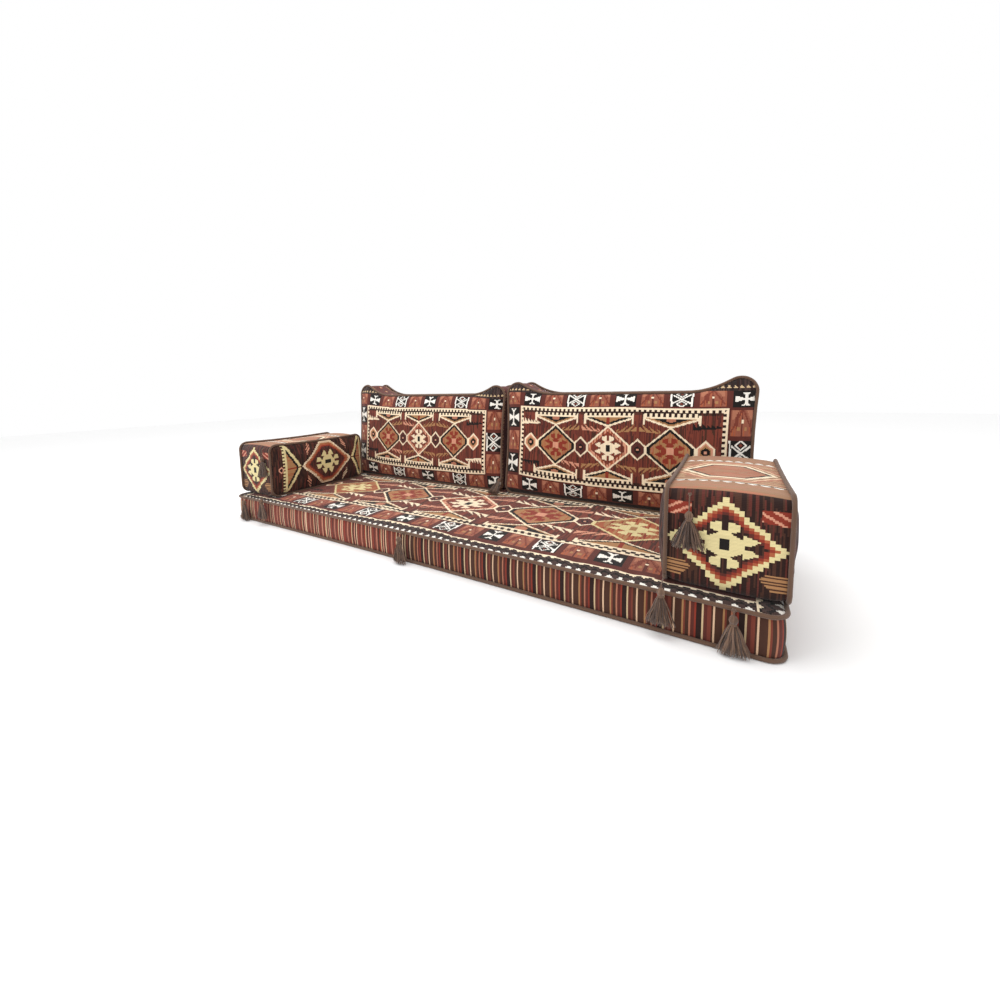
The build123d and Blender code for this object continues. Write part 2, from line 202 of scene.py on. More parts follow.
def room_inside(line, x, y):
    """How far each point lies inside the seam's sides, its foot and its top."""
    half = line[: len(line) // 2 + 1]
    half = half[half[:, 0] >= 0.0]

    def until_peak(values):
        falls = np.flatnonzero(np.diff(values) <= 1e-9)
        return falls[0] + 1 if len(falls) else len(values)

    foot = half[: until_peak(half[:, 0])]
    over = half[::-1]
    top = over[: until_peak(over[:, 0])]
    lowest = int(np.flatnonzero(half[:, 1] < half[:, 1].min() + 1e-6)[-1])
    side = half[lowest : lowest + until_peak(half[lowest:, 1])]
    across = np.abs(x)
    return (
        np.interp(y, side[:, 1], side[:, 0]) - across,
        y - np.interp(across, foot[:, 0], foot[:, 1]),
        np.interp(across, top[:, 0], top[:, 1]) - y,
    )


def crown_of(line, x, y, crown, reach, foot_flat):
    """The height of the stuffing under a panel: steep at the seams, easing to the middle."""
    side, foot, top = room_inside(line, x, y)

    def rise(room):
        share = np.clip(room / reach, 0.0, 1.0)
        return 0.55 * np.sqrt(1 - (1 - share) ** 2) + 0.45 * (1 - (1 - share) ** 2.2)

    return crown * rise(side) * rise(top) * rise(foot - foot_flat)


def axes(origin, right, up, outward, ease=None):
    """A seam's own axes in the sofa's frame, and what eases its points across and up."""
    return (*(np.array(v, dtype=float) for v in (origin, right, up, outward)), ease)


def set_out(seam, x, y, out):
    """Points of a seam's cover in the sofa's frame, from across, up and outwards."""
    origin, right, up, outward, ease = seam
    if ease is not None:
        x, y = ease(x, y)
    return (
        origin
        + np.multiply.outer(x, right)
        + np.multiply.outer(y, up)
        + np.multiply.outer(out, outward)
    )


def new_piece(name, points, faces, material, yarn=None, weave=None):
    """A piece from its points and faces, with a yarn colour for each face and a weave place
    for each point."""
    mesh = bpy.data.meshes.new(name)
    mesh.from_pydata(points.tolist(), [], [tuple(face) for face in faces])
    mesh.polygons.foreach_set("use_smooth", np.ones(len(mesh.polygons), dtype=bool))
    if yarn is not None:
        totals = np.empty(len(mesh.polygons), dtype=np.int32)
        mesh.polygons.foreach_get("loop_total", totals)
        full = np.ones((len(totals), 4), dtype=np.float32)
        full[:, :3] = yarn
        paint = mesh.color_attributes.new("yarn", "FLOAT_COLOR", "CORNER")
        paint.data.foreach_set("color", np.repeat(full, totals, axis=0).ravel())
    if weave is not None:
        corners = np.empty(len(mesh.loops), dtype=np.int32)
        mesh.loops.foreach_get("vertex_index", corners)
        places = weave[corners].astype(np.float32).ravel()
        mesh.uv_layers.new(name="weave").data.foreach_set("uv", places)
    mesh.materials.append(material)
    piece = bpy.data.objects.new(name, mesh)
    scene.collection.objects.link(piece)
    return piece


yarns = {
    "brick": (122, 58, 44), "espresso": (42, 21, 16), "cream": (246, 226, 194),
    "pink": (216, 152, 124), "tan": (170, 124, 82), "orange": (168, 90, 58),
    "rust": (140, 52, 36), "white": (247, 242, 232), "black": (22, 17, 15),
    "straw": (222, 206, 152), "oxblood": (92, 42, 34), "umber": (72, 42, 30),
    "charcoal": (40, 30, 28), "plum": (84, 40, 36), "slate": (70, 52, 48),
    "ecru": (206, 178, 138), "blush": (192, 128, 102), "taupe": (104, 78, 62),
    "clay": (150, 88, 68), "shell": (226, 188, 154), "rose": (176, 114, 88),
    "fawn": (158, 118, 88),
}


def dye(name):
    """A yarn's colour as light: its sRGB value made linear."""
    share = np.array(yarns[name]) / 255.0
    return np.where(share <= 0.04045, share / 12.92, ((share + 0.055) / 1.055) ** 2.4)


def plain(count, name):
    """The colours of knots that are all of one yarn."""
    return np.tile(dye(name), (count, 1))


def weaver(threads, area=True):
    """Gives a function that weaves a yarn in where a motif lies, within an area."""

    def put(where, name):
        threads[area & where] = dye(name)

    return put


def stepped(values, step):
    """Places along a warp or weft taken to the middle of their step, as slits are woven."""
    return (np.floor(values / step) + 0.5) * step


def zigzag(values, pitch):
    """From 1 down to 0 and back over each pitch."""
    return np.abs((values / pitch) % 1.0 - 0.5) * 2


def streaked(threads, where, x, y, knot, names):
    """Single threads of other shades in a ground, as uneven yarn gives in a flat weave."""
    column = np.floor(x / knot)
    chance = np.modf(np.abs(np.sin(column * 12.9898) * 43758.5453))[0]
    row = np.floor(y / 46.0 + 7.0 * chance)
    shade = np.modf(np.abs(np.sin(column * 78.233 + row * 37.719) * 24634.6345))[0]
    put = weaver(threads, where)
    for rank, name in enumerate(names):
        low = rank * 0.17
        put((shade > low) & (shade < low + 0.17), name)


def flower(threads, a, b, petals, heart, area=True):
    """An eight-petalled flower: a, b run from -1 to 1 over it."""
    p, q = np.abs(a), np.abs(b)
    tall = (p < 0.45) & (q > 0.4) & (q < 0.98 - 0.3 * p)
    wide = (p > 0.4) & (p < np.where(q > 0.27, 1.6 - 2.2 * q, 0.6 + 1.5 * q))
    body = (p < 0.47) & (q < 0.5)
    notch = (p > 0.16) & (p < 0.53) & (np.abs(q - 0.47) < 0.54 * (p - 0.16))
    slit = ((p < 0.09) & (q > 0.56)) | ((q < 0.08) & (p > 0.56))
    put = weaver(threads, area)
    put((tall | wide | body) & ~notch & ~slit, petals)
    put((p < 0.15) & (q < 0.24), heart)


def hourglass(threads, x, depth, half, apex, knot, kind):
    """The triangle between a frame line and a medallion's tip: depth runs in from the line."""
    across, line = np.abs(x), 32.0
    put = weaver(threads, across < half)
    tooth = np.floor(x / (3 * knot)) % 2 == 0
    put((depth > 6) & (depth < line - 3), "espresso")
    put((depth > line - 12.5) & (depth < line - 2) & tooth, "cream")
    slope = apex - (apex - line - 3) * stepped(across, 2 * knot) / half
    fill = (depth >= line) & (depth < slope - 3)
    if kind == "tan":
        put(fill, "tan")
        put(fill & (depth < slope - 9), "black")
        put(fill & (across < 0.16 * half) & (depth < slope - 16), "rose")
    else:
        put(fill, "black")
        put(fill & (depth < slope - 11), "tan")
        put(fill & (across < 0.06 * half) & (depth < slope - 6), "rust")
    put(np.abs(depth - slope) < 3.4, "cream")
    put((depth >= line - 3) & (depth < line + 2.6), "cream")
    bar = (across >= half - 6) & (across < half + 0.5)
    weaver(threads, bar)((depth > line - 9) & (depth < line + 24), "cream")


def comb(threads, x, y, reach, left, right):
    """A row of slanting teeth on each side of a link, like a comb's, smaller outwards."""
    across = np.abs(x)
    saw = ((across + 0.7 * y) / (0.27 * reach)) % 1.0
    rise = y + 0.14 * reach + 0.1 * across
    high = 0.36 * (reach - 0.55 * across) * (1 - saw)
    put = weaver(threads, (across > 4) & (across < reach) & (rise > 0) & (rise < high))
    put(x < 0, left)
    put(x >= 0, right)


def medallions(threads, x, y, half, tall, big, small, knot, bar, spots, links, ends):
    """A framed field: a chain of stepped diamonds with small links and hourglasses between."""
    inside = (np.abs(x) < half) & (np.abs(y) < tall)
    put = weaver(threads, inside)
    put(inside, "brick")
    streaked(threads, inside, x, y, knot, ("umber", "oxblood", "brick", "plum"))
    edge_x, edge_y = half - np.abs(x), tall - np.abs(y)
    put(edge_y < 24, "umber")
    streaked(threads, inside & (edge_y < 24), x, y, knot, ("espresso", "espresso", "oxblood"))
    along = np.where(edge_y < edge_x, x, y)
    edge = np.minimum(edge_x, edge_y)
    tooth = np.floor(along / (3 * knot)) % 2 == 0
    for middle, kind in spots:
        for way in (1, -1):
            hourglass(
                threads, x - middle, tall - way * y, bar, tall - big[1] + 2, knot, kind
            )
    put(edge < 16, "espresso")
    put((edge < 5.9) | ((edge < 14) & tooth), "cream")
    for middle, left, right in links:
        for way in (1, -1):
            rise = way * y - 0.42 * (tall + big[1] * 0.42)
            comb(threads, way * (x - middle), rise, 0.92 * big[0], left, right)
    for middle, halves in ends:
        for way, name in halves:
            a, b = way * (x - middle) / (0.5 * big[0]), way * y - 0.52 * tall
            saw = ((a + 1) * 3.0) % 1.0
            tip = 3 * a + 5 + 22 * (1.4 - a) / 2.4 * (1 - saw)
            put((np.abs(a) < 1) & (b > 3 * a) & (b < tip), name)
    for outer, places in ((False, links), (True, ends)):
        for middle, *_ in places:
            across = np.abs(x - middle)
            d = np.maximum(across / small[0], (np.abs(y) + 0.92 * across) / small[1])
            put(d < 1.0, "cream")
            put(d < 0.8, "pink" if outer else "plum")
            put((d < 0.62) & outer, "tan")
            put(d < (0.44 if outer else 0.34), "black")
            put((across < 1.3 * knot) & (np.abs(y) < 1.3 * knot), "pink")
    for middle, kind in spots:
        across = np.abs(x - middle)
        slant = across / (1.16 * big[0]) + np.abs(y) / big[1]
        d = np.maximum(slant, across / big[0])
        rim = 2.7 * knot / big[0]
        a, b = (x - middle) / (0.6 * big[0]), y / (0.58 * big[1])
        put(d < 1.0, "straw" if kind == "gold" else "cream")
        if kind == "tan":
            put(d < 1.0 - 0.9 * rim, "black")
            put(d < 1.0 - 2.3 * rim, "tan")
            streaked(threads, d < 1.0 - 2.3 * rim, x, y, knot, ("rose", "orange"))
            flower(threads, a, b, "rust", "pink")
            put((np.abs(np.abs(a) - np.abs(b)) < 0.08) & (np.abs(a) < 0.6), "tan")
            put((np.abs(a) < 0.24) & (np.abs(b) < 0.24), "pink")
        elif kind == "gold":
            put(d < 1.0 - rim, "orange")
            streaked(threads, d < 1.0 - rim, x, y, knot, ("tan", "rust", "tan"))
            flower(threads, a, b, "straw", "tan")
        else:
            put(d < 1.0 - rim, "pink")
            streaked(threads, d < 1.0 - rim, x, y, knot, ("orange", "brick", "orange"))
            put(d < 1.0 - 2.6 * rim, "brick")
            streaked(threads, d < 1.0 - 2.6 * rim, x, y, knot, ("rust", "oxblood"))
            flower(threads, a, b, "cream", "black")


def border_square(threads, a, b, kind):
    """One square of a border: a and b run from -1 to 1 over it."""
    p, q = np.abs(a), np.abs(b)
    inside = (p < 1) & (q < 1)
    put = weaver(threads, inside)
    if kind == "cross":
        put(inside, "black")
        put(p > 0.94, "oxblood")
        put((p > 0.08) & (p < 0.82) & (q < 0.04 + 0.46 * p), "white")
        put((p < 0.09) & (q < 0.6), "white")
        put((q > 0.54) & (q < 0.86) & (p < 0.95 * (q - 0.44)), "white")
        put((q > 0.76) & (p < 0.1), "black")
    elif kind == "hooks":
        put(p < 0.97, "black")
        put(np.abs(p - 0.84 - 0.05 * b) < 0.075, "white")
        put((np.abs(q - 0.75 * p) < 0.09) & (p < 0.74), "white")
        ring = p * 0.9 + np.abs(q - 0.62)
        put((p < 0.6) & (np.abs(ring - 0.36) < 0.075), "white")
        put((p < 0.3) & (ring < 0.14), "brick")
    else:
        put(inside, "clay")
        streaked(threads, inside, a * 40, b * 40, 3.0, ("brick", "clay", "orange", "clay"))
        put((b > 0.3) & (p > 0.3 + 0.5 * (1 - b)) & (p < 0.82), "rose")
        put((np.abs(p - 0.62 + 0.45 * (b + 0.2)) < 0.07) & (b > -0.75), "brick")
        put((p < 0.06) & (b < 0.5), "oxblood")
        put((b < -0.3) & (np.abs(p - 0.27) < 0.1) & (b > -0.6), "tan")
        put((p < 0.09) & (np.abs(b - 0.16) < 0.12), "cream")
        put(p > 0.9, "oxblood")


def selvedge(threads, x, depth, width):
    """The kilim's dark edge: white triangles along the seam and a scalloped cream line."""
    teeth = 25.5
    put = weaver(threads, (depth >= -20) & (depth < width))
    put(depth < width, "slate")
    phase = zigzag(x, teeth)
    put(depth < 0.36 * width * (1 - 1.35 * phase), "white")
    wave = 0.46 * width + 0.1 * width * np.cos(2 * pi * x / teeth)
    put(np.abs(depth - wave) < 0.08 * width, "black")
    point = 0.88 * width - 0.18 * width * (1 - 1.5 * phase).clip(0, 1)
    put(depth > point - 4, "black")
    put(depth > point, "cream")


seat_line = seam_line(
    seat_length - 2 * seam_in, seat_depth - 2 * seam_in, (seat_draw, 0.0, 0.0),
    (seat_corner, seat_corner),
)
foot_y = -(seat_depth - 2 * seam_in) / 2


def paint_seat(x, y):
    """The seat's kilim: selvedge, a row of squares, then the framed chain of medallions."""
    threads = plain(len(x), "oxblood")
    y = y + foot_y * 1000
    middle_x, middle_y, squares = 20.0, 5.0, ("orange", "hooks", "orange", "cross")
    side_seam, end_seam, edge, pitch, apart = 340.75, 990.75, 47.0, 88.5, 307.0
    selvedge(threads, x, side_seam - y, edge)
    front_seam = side_seam - 9 * (1 - (x / 990.0) ** 2)
    front_places = (-990, -447, -88, 80, 230, 370, 990)
    front_edge = np.interp(x, front_places, (24, 24, 43, 38, 29, 36, 33))
    selvedge(threads, x, front_seam + y, front_edge)
    y = y + np.interp(x, (-990, -560, -400, -100, 250), (24, 22, 14, 4, 0))
    for row, sx in enumerate(np.arange(12.0 - 11 * pitch, 1000.0, pitch)):
        kind = squares[(row + 1) % 4]
        if abs(sx - middle_x) > 930:
            continue
        for way in (-1, 1):
            a = (x - sx) / (41 if kind == "orange" else 37)
            border_square(threads, a, (y - middle_y - way * 247) / 37.0, kind)
    for way in (-1, 1):
        side = way * (x - middle_x)
        weaver(threads)((side > 842) & (np.abs(y - middle_y) < 208), "oxblood")
        for row in range(5):
            b = (y - middle_y - (row - 2) * 84) / 38.0
            border_square(threads, (side - 893) / 40.0, b, squares[row % 4])
        selvedge(threads, y, end_seam - way * x, edge)
    kinds = ("gold", "tan", "flower", "tan", "gold")
    medallions(
        threads, x - middle_x, y - middle_y, half=840.0, tall=205.0, big=(128.0, 124.0),
        small=(34.0, 47.0), knot=4.0, bar=129.0,
        spots=[(step * apart, kind) for step, kind in zip(range(-2, 3), kinds)],
        links=[((step + 0.5) * apart, "pink", "cream") for step in range(-2, 2)],
        ends=[(way * 768.0, ((-way, "cream"), (way, "black"))) for way in (-1, 1)],
    )
    return threads


def sheet_in(line, xs, ys, cell, least):
    """A sheet of square cells trimmed to a seam, with its outermost points moved onto it."""
    gx, gy = np.meshgrid(xs, ys)
    centre_x, centre_y = gx[:-1, :-1] + cell / 2, gy[:-1, :-1] + cell / 2
    keep = np.minimum.reduce(room_inside(line, centre_x, centre_y)) > least
    rows, columns = keep.shape
    corners = [(0, 0), (0, 1), (1, 1), (1, 0)]
    count = np.zeros(gx.shape, dtype=int)
    for j, i in corners:
        count[j : j + rows, i : i + columns] += keep
    used = count > 0
    index = -np.ones(gx.shape, dtype=int)
    index[used] = np.arange(used.sum())
    faces = np.stack([index[j : j + rows, i : i + columns][keep] for j, i in corners], 1)
    px, py, rim = gx[used], gy[used], np.flatnonzero(count[used] < 4)
    for chunk in np.array_split(rim, max(1, len(rim) // 200)):
        gap = (line[:, 0] - px[chunk, None]) ** 2 + (line[:, 1] - py[chunk, None]) ** 2
        px[chunk], py[chunk] = line[np.argmin(gap, axis=1)].T
    return px, py, rim, faces, used, centre_x[keep], centre_y[keep]


def swell(line, cell, crown, reach, foot_flat, loose, push, cap):
    """Lets a coarse sheet, pinned in its seam, fill out over the stuffing, and gives how far
    each of its points went from the plain crown, as a grid to read between."""
    half = np.abs(line[:, 0]).max()
    columns = int(np.ceil(half / cell)) + 1
    rows = int(np.ceil(line[:, 1].max() / cell)) + 2
    xs = (np.arange(2 * columns + 1) - columns) * cell
    ys = (np.arange(rows + 1) - 0.5) * cell
    grid = np.zeros((len(ys), len(xs), 3))
    px, py, rim, faces, used, *_ = sheet_in(line, xs, ys, cell, 0.2 * cell)
    start = np.stack([px, py, crown_of(line, px, py, crown, reach, foot_flat)], 1)
    mesh = bpy.data.meshes.new("swelling_sheet")
    mesh.from_pydata(start.tolist(), [], faces.tolist())
    sheet = bpy.data.objects.new("swelling_sheet", mesh)
    scene.collection.objects.link(sheet)
    sheet.vertex_groups.new(name="seam").add(rim.tolist(), 1.0, "REPLACE")
    bpy.context.view_layer.objects.active = sheet
    cover = sheet.modifiers.new("cover", "CLOTH")
    made = cover.settings
    made.quality = 6
    made.mass = 0.02
    made.tension_stiffness = made.compression_stiffness = 25.0
    made.shear_stiffness = 8.0
    made.bending_stiffness = 0.6
    made.use_pressure = True
    made.uniform_pressure_force = push
    made.shrink_min = -loose
    made.effector_weights.gravity = 0.0
    made.vertex_group_mass = "seam"
    cover.point_cache.frame_start, cover.point_cache.frame_end = 1, 20
    for step in range(1, 21):
        scene.frame_set(step)
    settled = sheet.evaluated_get(bpy.context.evaluated_depsgraph_get()).data
    went = np.empty(len(start) * 3)
    settled.vertices.foreach_get("co", went)
    went = went.reshape(-1, 3) - start
    far = np.linalg.norm(went, axis=1)[:, None]
    grid[used] = went * np.minimum(1.0, cap / np.maximum(far, 1e-9))
    bpy.data.objects.remove(sheet)
    scene.frame_set(1)
    return xs, ys, grid


def read_between(swelling, x, y):
    """The swelling at any places, eased smoothly between the coarse sheet's points."""
    xs, ys, grid = swelling
    cell = xs[1] - xs[0]
    u, v = (x - xs[0]) / cell, (y - ys[0]) / cell
    i = np.clip(np.floor(u).astype(int), 1, len(xs) - 3)
    j = np.clip(np.floor(v).astype(int), 1, len(ys) - 3)

    def weights(f):
        return np.stack([
            (1 - f) ** 3 / 6, (3 * f**3 - 6 * f**2 + 4) / 6,
            (-3 * f**3 + 3 * f**2 + 3 * f + 1) / 6, f**3 / 6,
        ])

    across, upward = weights(np.clip(u - i, 0, 1)), weights(np.clip(v - j, 0, 1))
    total = np.zeros((len(x), 3))
    for b in range(4):
        for a in range(4):
            total += (across[a] * upward[b])[:, None] * grid[j + b - 1, i + a - 1]
    return total


def make_panel(
    name, seam, line, knot, middle, crown, reach, paint, material, swelling, zip_at=None,
    foot_flat=0.0, soft=1.0, hang=None,
):
    """A panel woven knot by knot, filled out by its stuffing and trimmed to its seam."""
    half, top = np.abs(line[:, 0]).max(), line[:, 1].max()
    first_x = -np.ceil(half / knot + 1) * knot
    first_y = middle - np.ceil(middle / knot + 1) * knot
    xs = np.arange(first_x, half + 2 * knot, knot)
    ys = np.arange(first_y, top + 2 * knot, knot)
    px, py, rim, faces, _, centre_x, centre_y = sheet_in(line, xs, ys, knot, 0.0)
    room = np.minimum.reduce(room_inside(line, px, py)).clip(0)
    out = crown_of(line, px, py, crown, reach, foot_flat) + cloth * np.minimum(1, room / 0.004)
    pucker = np.sin(205.0 * (px + 0.8 * py) + 3.0 * np.sin(19.0 * px) + 2.0 * np.sin(23.0 * py))
    out += 0.0009 * soft * pucker * np.exp(-room / 0.016) * np.minimum(1, room / 0.005)
    dent = np.sin(17.0 * px + 9.0 * py + 1.3) * np.sin(19.0 * py - 7.0 * px + 0.7)
    out += 0.0016 * soft * dent * np.minimum(1, room / 0.06)
    went = read_between(swelling, px, py) * np.minimum(1, room / 0.02)[:, None]
    drift = 0.0018 * np.minimum(1, room / 0.03)
    went[:, 0] += drift * np.sin(14.0 * py + 5.0 * px)
    went[:, 1] += drift * np.sin(11.0 * px + 0.8)
    if hang is not None:
        went[:, 1] -= hang(px, py) * np.minimum(1, room / 0.04)
    if zip_at is not None:
        sunk = (np.abs(px) < zip_at[0]) & (np.abs(py - zip_at[1]) < zip_bed)
        out[sunk] = -0.0006
        went[sunk] = 0.0
    out[rim] = 0.0
    went[rim] = 0.0
    points = set_out(seam, px + went[:, 0], py + went[:, 1], out + went[:, 2])

    # The open edge below the panel is closed by one face, which runs the other way round.
    edges = np.sort(np.vstack([faces[:, [a, (a + 1) % 4]] for a in range(4)]), axis=1)
    pairs, times = np.unique(edges, axis=0, return_counts=True)
    seam_pairs = pairs[times == 1]
    follows = {}
    for a, b in seam_pairs.tolist():
        follows.setdefault(a, []).append(b)
        follows.setdefault(b, []).append(a)
    start = int(seam_pairs[0][0])
    loop, here = [start], follows[start][0]
    while here != start:
        loop.append(here)
        here = next(n for n in follows[here] if n != loop[-2])
    lx, ly = px[loop], py[loop]
    if np.sum(lx * np.roll(ly, -1) - np.roll(lx, -1) * ly) > 0:
        loop.reverse()
    threads = paint(centre_x * 1000, centre_y * 1000)
    piece = new_piece(
        name, points, [*faces.tolist(), loop], material,
        np.vstack([threads, dye("umber")]), np.stack([px, py], 1),
    )
    mesh = piece.data
    ends = np.empty(len(mesh.edges) * 2, dtype=np.int32)
    mesh.edges.foreach_get("vertices", ends)
    both = np.array([len(px), 1])
    sharp = np.isin(np.sort(ends.reshape(-1, 2), axis=1) @ both, seam_pairs @ both)
    mesh.attributes.new("sharp_edge", "BOOLEAN", "EDGE").data.foreach_set("value", sharp)
    return piece


def woven_group():
    """Kilim weave: ribs of packed weft over the warps, with uneven yarn and faded streaks."""
    group = bpy.data.node_groups.new("flat_weave", "ShaderNodeTree")
    for way, sockets in (
        ("INPUT", {"Place": "Vector", "Colour": "Color", "Warps": "Float", "Wefts": "Float",
                   "Streaks": "Float"}),
        ("OUTPUT", {"Colour": "Color", "Roughness": "Float", "Height": "Float"}),
    ):
        for name, kind in sockets.items():
            group.interface.new_socket(name, in_out=way, socket_type=f"NodeSocket{kind}")
    given = group.nodes.new("NodeGroupInput").outputs
    place = given["Place"]

    def sums(operation, *values):
        inputs = enumerate(values)
        return add_node(group, "Math", inputs, operation=operation).outputs[0]

    def noise(vector, scale, detail):
        inputs = {"Vector": vector, "Scale": scale, "Detail": detail}
        return add_node(group, "TexNoise", inputs).outputs["Fac"]

    def swing(value, share):
        """A noise value moved to swing about nought, by a share of itself."""
        return sums("MULTIPLY", sums("SUBTRACT", value, 0.5), share)

    apart = add_node(group, "SeparateXYZ", {0: place}).outputs
    warp = sums("MULTIPLY", apart[0], given["Warps"])
    weft = sums("MULTIPLY", apart[1], given["Wefts"])
    rib = sums("ABSOLUTE", sums("SINE", sums("MULTIPLY", warp, pi)))
    shift = sums("MULTIPLY", sums("FLOOR", warp), 0.5)
    pick = sums("ABSOLUTE", sums("SINE", sums("MULTIPLY", sums("ADD", weft, shift), pi)))
    packed = sums("ADD", sums("MULTIPLY", pick, 0.45), 0.55)
    bead = sums("MULTIPLY", sums("POWER", rib, 0.6), packed)
    fuzz = noise(place, 900.0, 3.0)
    height = sums("ADD", sums("MULTIPLY", bead, 0.8), sums("MULTIPLY", fuzz, 0.3))
    stretch = add_node(group, "Mapping", {"Vector": place, "Scale": (160.0, 6.0, 1.0)})
    fade = swing(noise(stretch.outputs[0], 1.0, 4.0), given["Streaks"])
    fade = sums("ADD", fade, swing(noise(place, 7.0, 3.0), 0.35))
    fade = sums("ADD", fade, swing(fuzz, 0.5))
    lit = sums("ADD", sums("MULTIPLY", bead, 0.35), 0.72)
    bright = sums("MULTIPLY", sums("ADD", fade, 1.0), lit)
    tint = {0: given["Colour"], "Scale": bright}
    feed(group, group.nodes.new("NodeGroupOutput"), {
        "Colour": add_node(group, "VectorMath", tint, operation="SCALE").outputs[0],
        "Roughness": sums("SUBTRACT", 0.98, sums("MULTIPLY", bead, 0.14)),
        "Height": height,
    })
    return group


flat_weave = woven_group()


def add_relief(tree, height, strength, distance):
    inputs = {"Height": height, "Strength": strength, "Distance": distance}
    return add_node(tree, "Bump", inputs).outputs[0]


def cloth_material(name, warps, wefts, streaks, bump, sheen, yarn=None):
    """A woven cloth, dyed by its threads' colours or all in one yarn."""
    material, tree, shader = new_material(name)
    if yarn is None:
        colour = add_node(tree, "VertexColor", layer_name="yarn").outputs["Color"]
    else:
        colour = (*dye(yarn), 1.0)
    weave = add_node(tree, "Group", node_tree=flat_weave)
    feed(tree, weave, {
        "Place": add_node(tree, "UVMap", uv_map="weave").outputs[0],
        "Colour": colour, "Warps": warps, "Wefts": wefts, "Streaks": streaks,
    })
    feed(tree, shader, {
        "Normal": add_relief(tree, weave.outputs["Height"], bump, 0.0008),
        "Base Color": weave.outputs["Colour"], "Roughness": weave.outputs["Roughness"],
        "Sheen Weight": sheen, "Sheen Roughness": 0.5, "Specular IOR Level": 0.25,
    })
    return material


kilim = cloth_material("kilim_cloth", 340.0, 900.0, 0.35, 0.5, 0.12)
stripes = cloth_material("striped_boxing", 900.0, 340.0, 0.25, 0.5, 0.1)
lining = cloth_material("lining_cloth", 1200.0, 1200.0, 0.1, 0.3, 0.1, "umber")
welt_cloth = cloth_material("welt_cloth", 700.0, 700.0, 0.2, 0.5, 0.2, "taupe")


def ring_quads(rows, count, closed=True):
    """Quads between rows of points that each run round a ring; closed joins the last row to
    the first."""
    i = np.arange(count)
    j = (i + 1) % count
    starts = [(a * count, (a + 1) % rows * count) for a in range(rows if closed else rows - 1)]
    return np.vstack([np.stack([a + i, b + i, b + j, a + j], 1) for a, b in starts])


turned_over = [0, 3, 2, 1]


def make_strip(name, seam, line, across, rows, bulge, paint, material, step, zip_half=None):
    """A boxing strip between two seams, filled out a little by the foam behind it."""
    ring = evenly(line, step)
    count = len(ring)
    normal = beside(ring, 1.0) - ring
    run = np.r_[0.0, np.cumsum(np.linalg.norm(np.diff(ring, axis=0), axis=1))]
    length = float(np.linalg.norm(across))
    points, weave = [], []

    def add_row(at, share):
        points.append(set_out(seam, at[:, 0], at[:, 1], np.zeros(count)) + across * share)
        weave.append(np.stack([run, np.full(count, share * length)], 1))

    for share in np.linspace(0.0, 1.0, rows + 1):
        out = bulge(normal, share, run)
        if zip_half is not None and abs(share - 0.5) * length < zip_bed:
            sunk = (normal[:, 1] > 0.7) & (np.abs(ring[:, 0]) < zip_half)
            out = np.where(sunk, -0.0024, out)
        add_row(ring + normal * out[:, None], share)
    for share in (1.0, 0.0):
        add_row(ring - normal * hem, share)
    mid_run = np.tile(run + step / 2, rows + 3)
    mid_up = np.repeat(np.r_[(np.arange(rows) + 0.5) / rows, 1.0, 0.5, 0.0], count) * length
    centre = np.tile((ring + np.roll(ring, -1, axis=0)) / 2, (rows + 3, 1))
    threads = paint(mid_run * 1000, mid_up * 1000, centre * 1000, length * 1000)
    faces = ring_quads(rows + 3, count).tolist()
    return new_piece(name, np.vstack(points), faces, material, threads, np.vstack(weave))


def make_welt(name, seam, line, shift=0.0):
    """A covered cord sewn into a seam."""
    sides, step, girth = 10, 0.007, 0.028
    ring = evenly(beside(line, welt_gap + welt_size / 2), step)
    normal = beside(ring, 1.0) - ring
    count = len(ring)
    run = np.arange(count) * step
    uneven = 1.02 + 0.02 * np.sin(run * 260.0) + 0.025 * np.sin(run * 91.0 + 2.0)
    thick = welt_size / 2 * uneven
    points, weave = [], []
    for side in range(sides):
        angle, round_it = 2 * pi * side / sides, side * girth / sides
        at = ring + normal * (thick * cos(angle))[:, None]
        points.append(set_out(seam, at[:, 0], at[:, 1], shift + thick * sin(angle)))
        weave.append(np.stack([run + round_it, np.full(count, round_it)], 1))
    faces = ring_quads(sides, count)[:, turned_over].tolist()
    return new_piece(name, np.vstack(points), faces, welt_cloth, None, np.vstack(weave))


seat_top = axes((0, foot_y, seat_height - seat_crown), (1, 0, 0), (0, 1, 0), (0, 0, 1))
seat_below = axes((0, foot_y, cloth), (-1, 0, 0), (0, 1, 0), (0, 0, -1))
seat_across = np.array([0.0, 0.0, cloth + seat_crown - seat_height])
seat_fill = swell(
    seat_line, seat_cell, seat_crown, seat_reach, foot_flat=0.0, loose=0.01, push=1.0,
    cap=0.003,
)
top_panel = make_panel(
    "seat_top_kilim", seat_top, seat_line, seat_knot, 0.0, seat_crown - cloth, seat_reach,
    paint_seat, kilim, seat_fill,
)
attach(top_panel, "seat")
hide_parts("seat_top_panel")


def paint_stripes(run, up, centre, length):
    """Stripes across the boxing: redder to the left of the middle, darker to the right."""
    threads = plain(len(run), "espresso")
    right = centre[:, 0] >= -20.0
    for here, order in (
        (right, (
            (3.6, "ecru"), (8, "oxblood"), (4, "brick"), (6, "umber"), (3.6, "shell"),
            (12, "umber"), (3.6, "tan"), (5, "brick"), (6, "umber"), (3.6, "rose"),
            (9, "oxblood"), (3.6, "rust"), (9, "espresso"),
        )),
        (~right, (
            (4, "shell"), (7, "brick"), (4, "rust"), (5, "oxblood"), (7, "brick"), (4, "blush"),
            (6, "brick"), (4, "umber"), (7, "rust"), (4, "ecru"), (9, "oxblood"), (4, "pink"),
            (6, "umber"),
        )),
    ):
        put = weaver(threads, here)
        at = run % sum(width for width, _ in order)
        start = 0.0
        for width, name in order:
            put((at >= start) & (at < start + width), name)
            start += width
    return threads


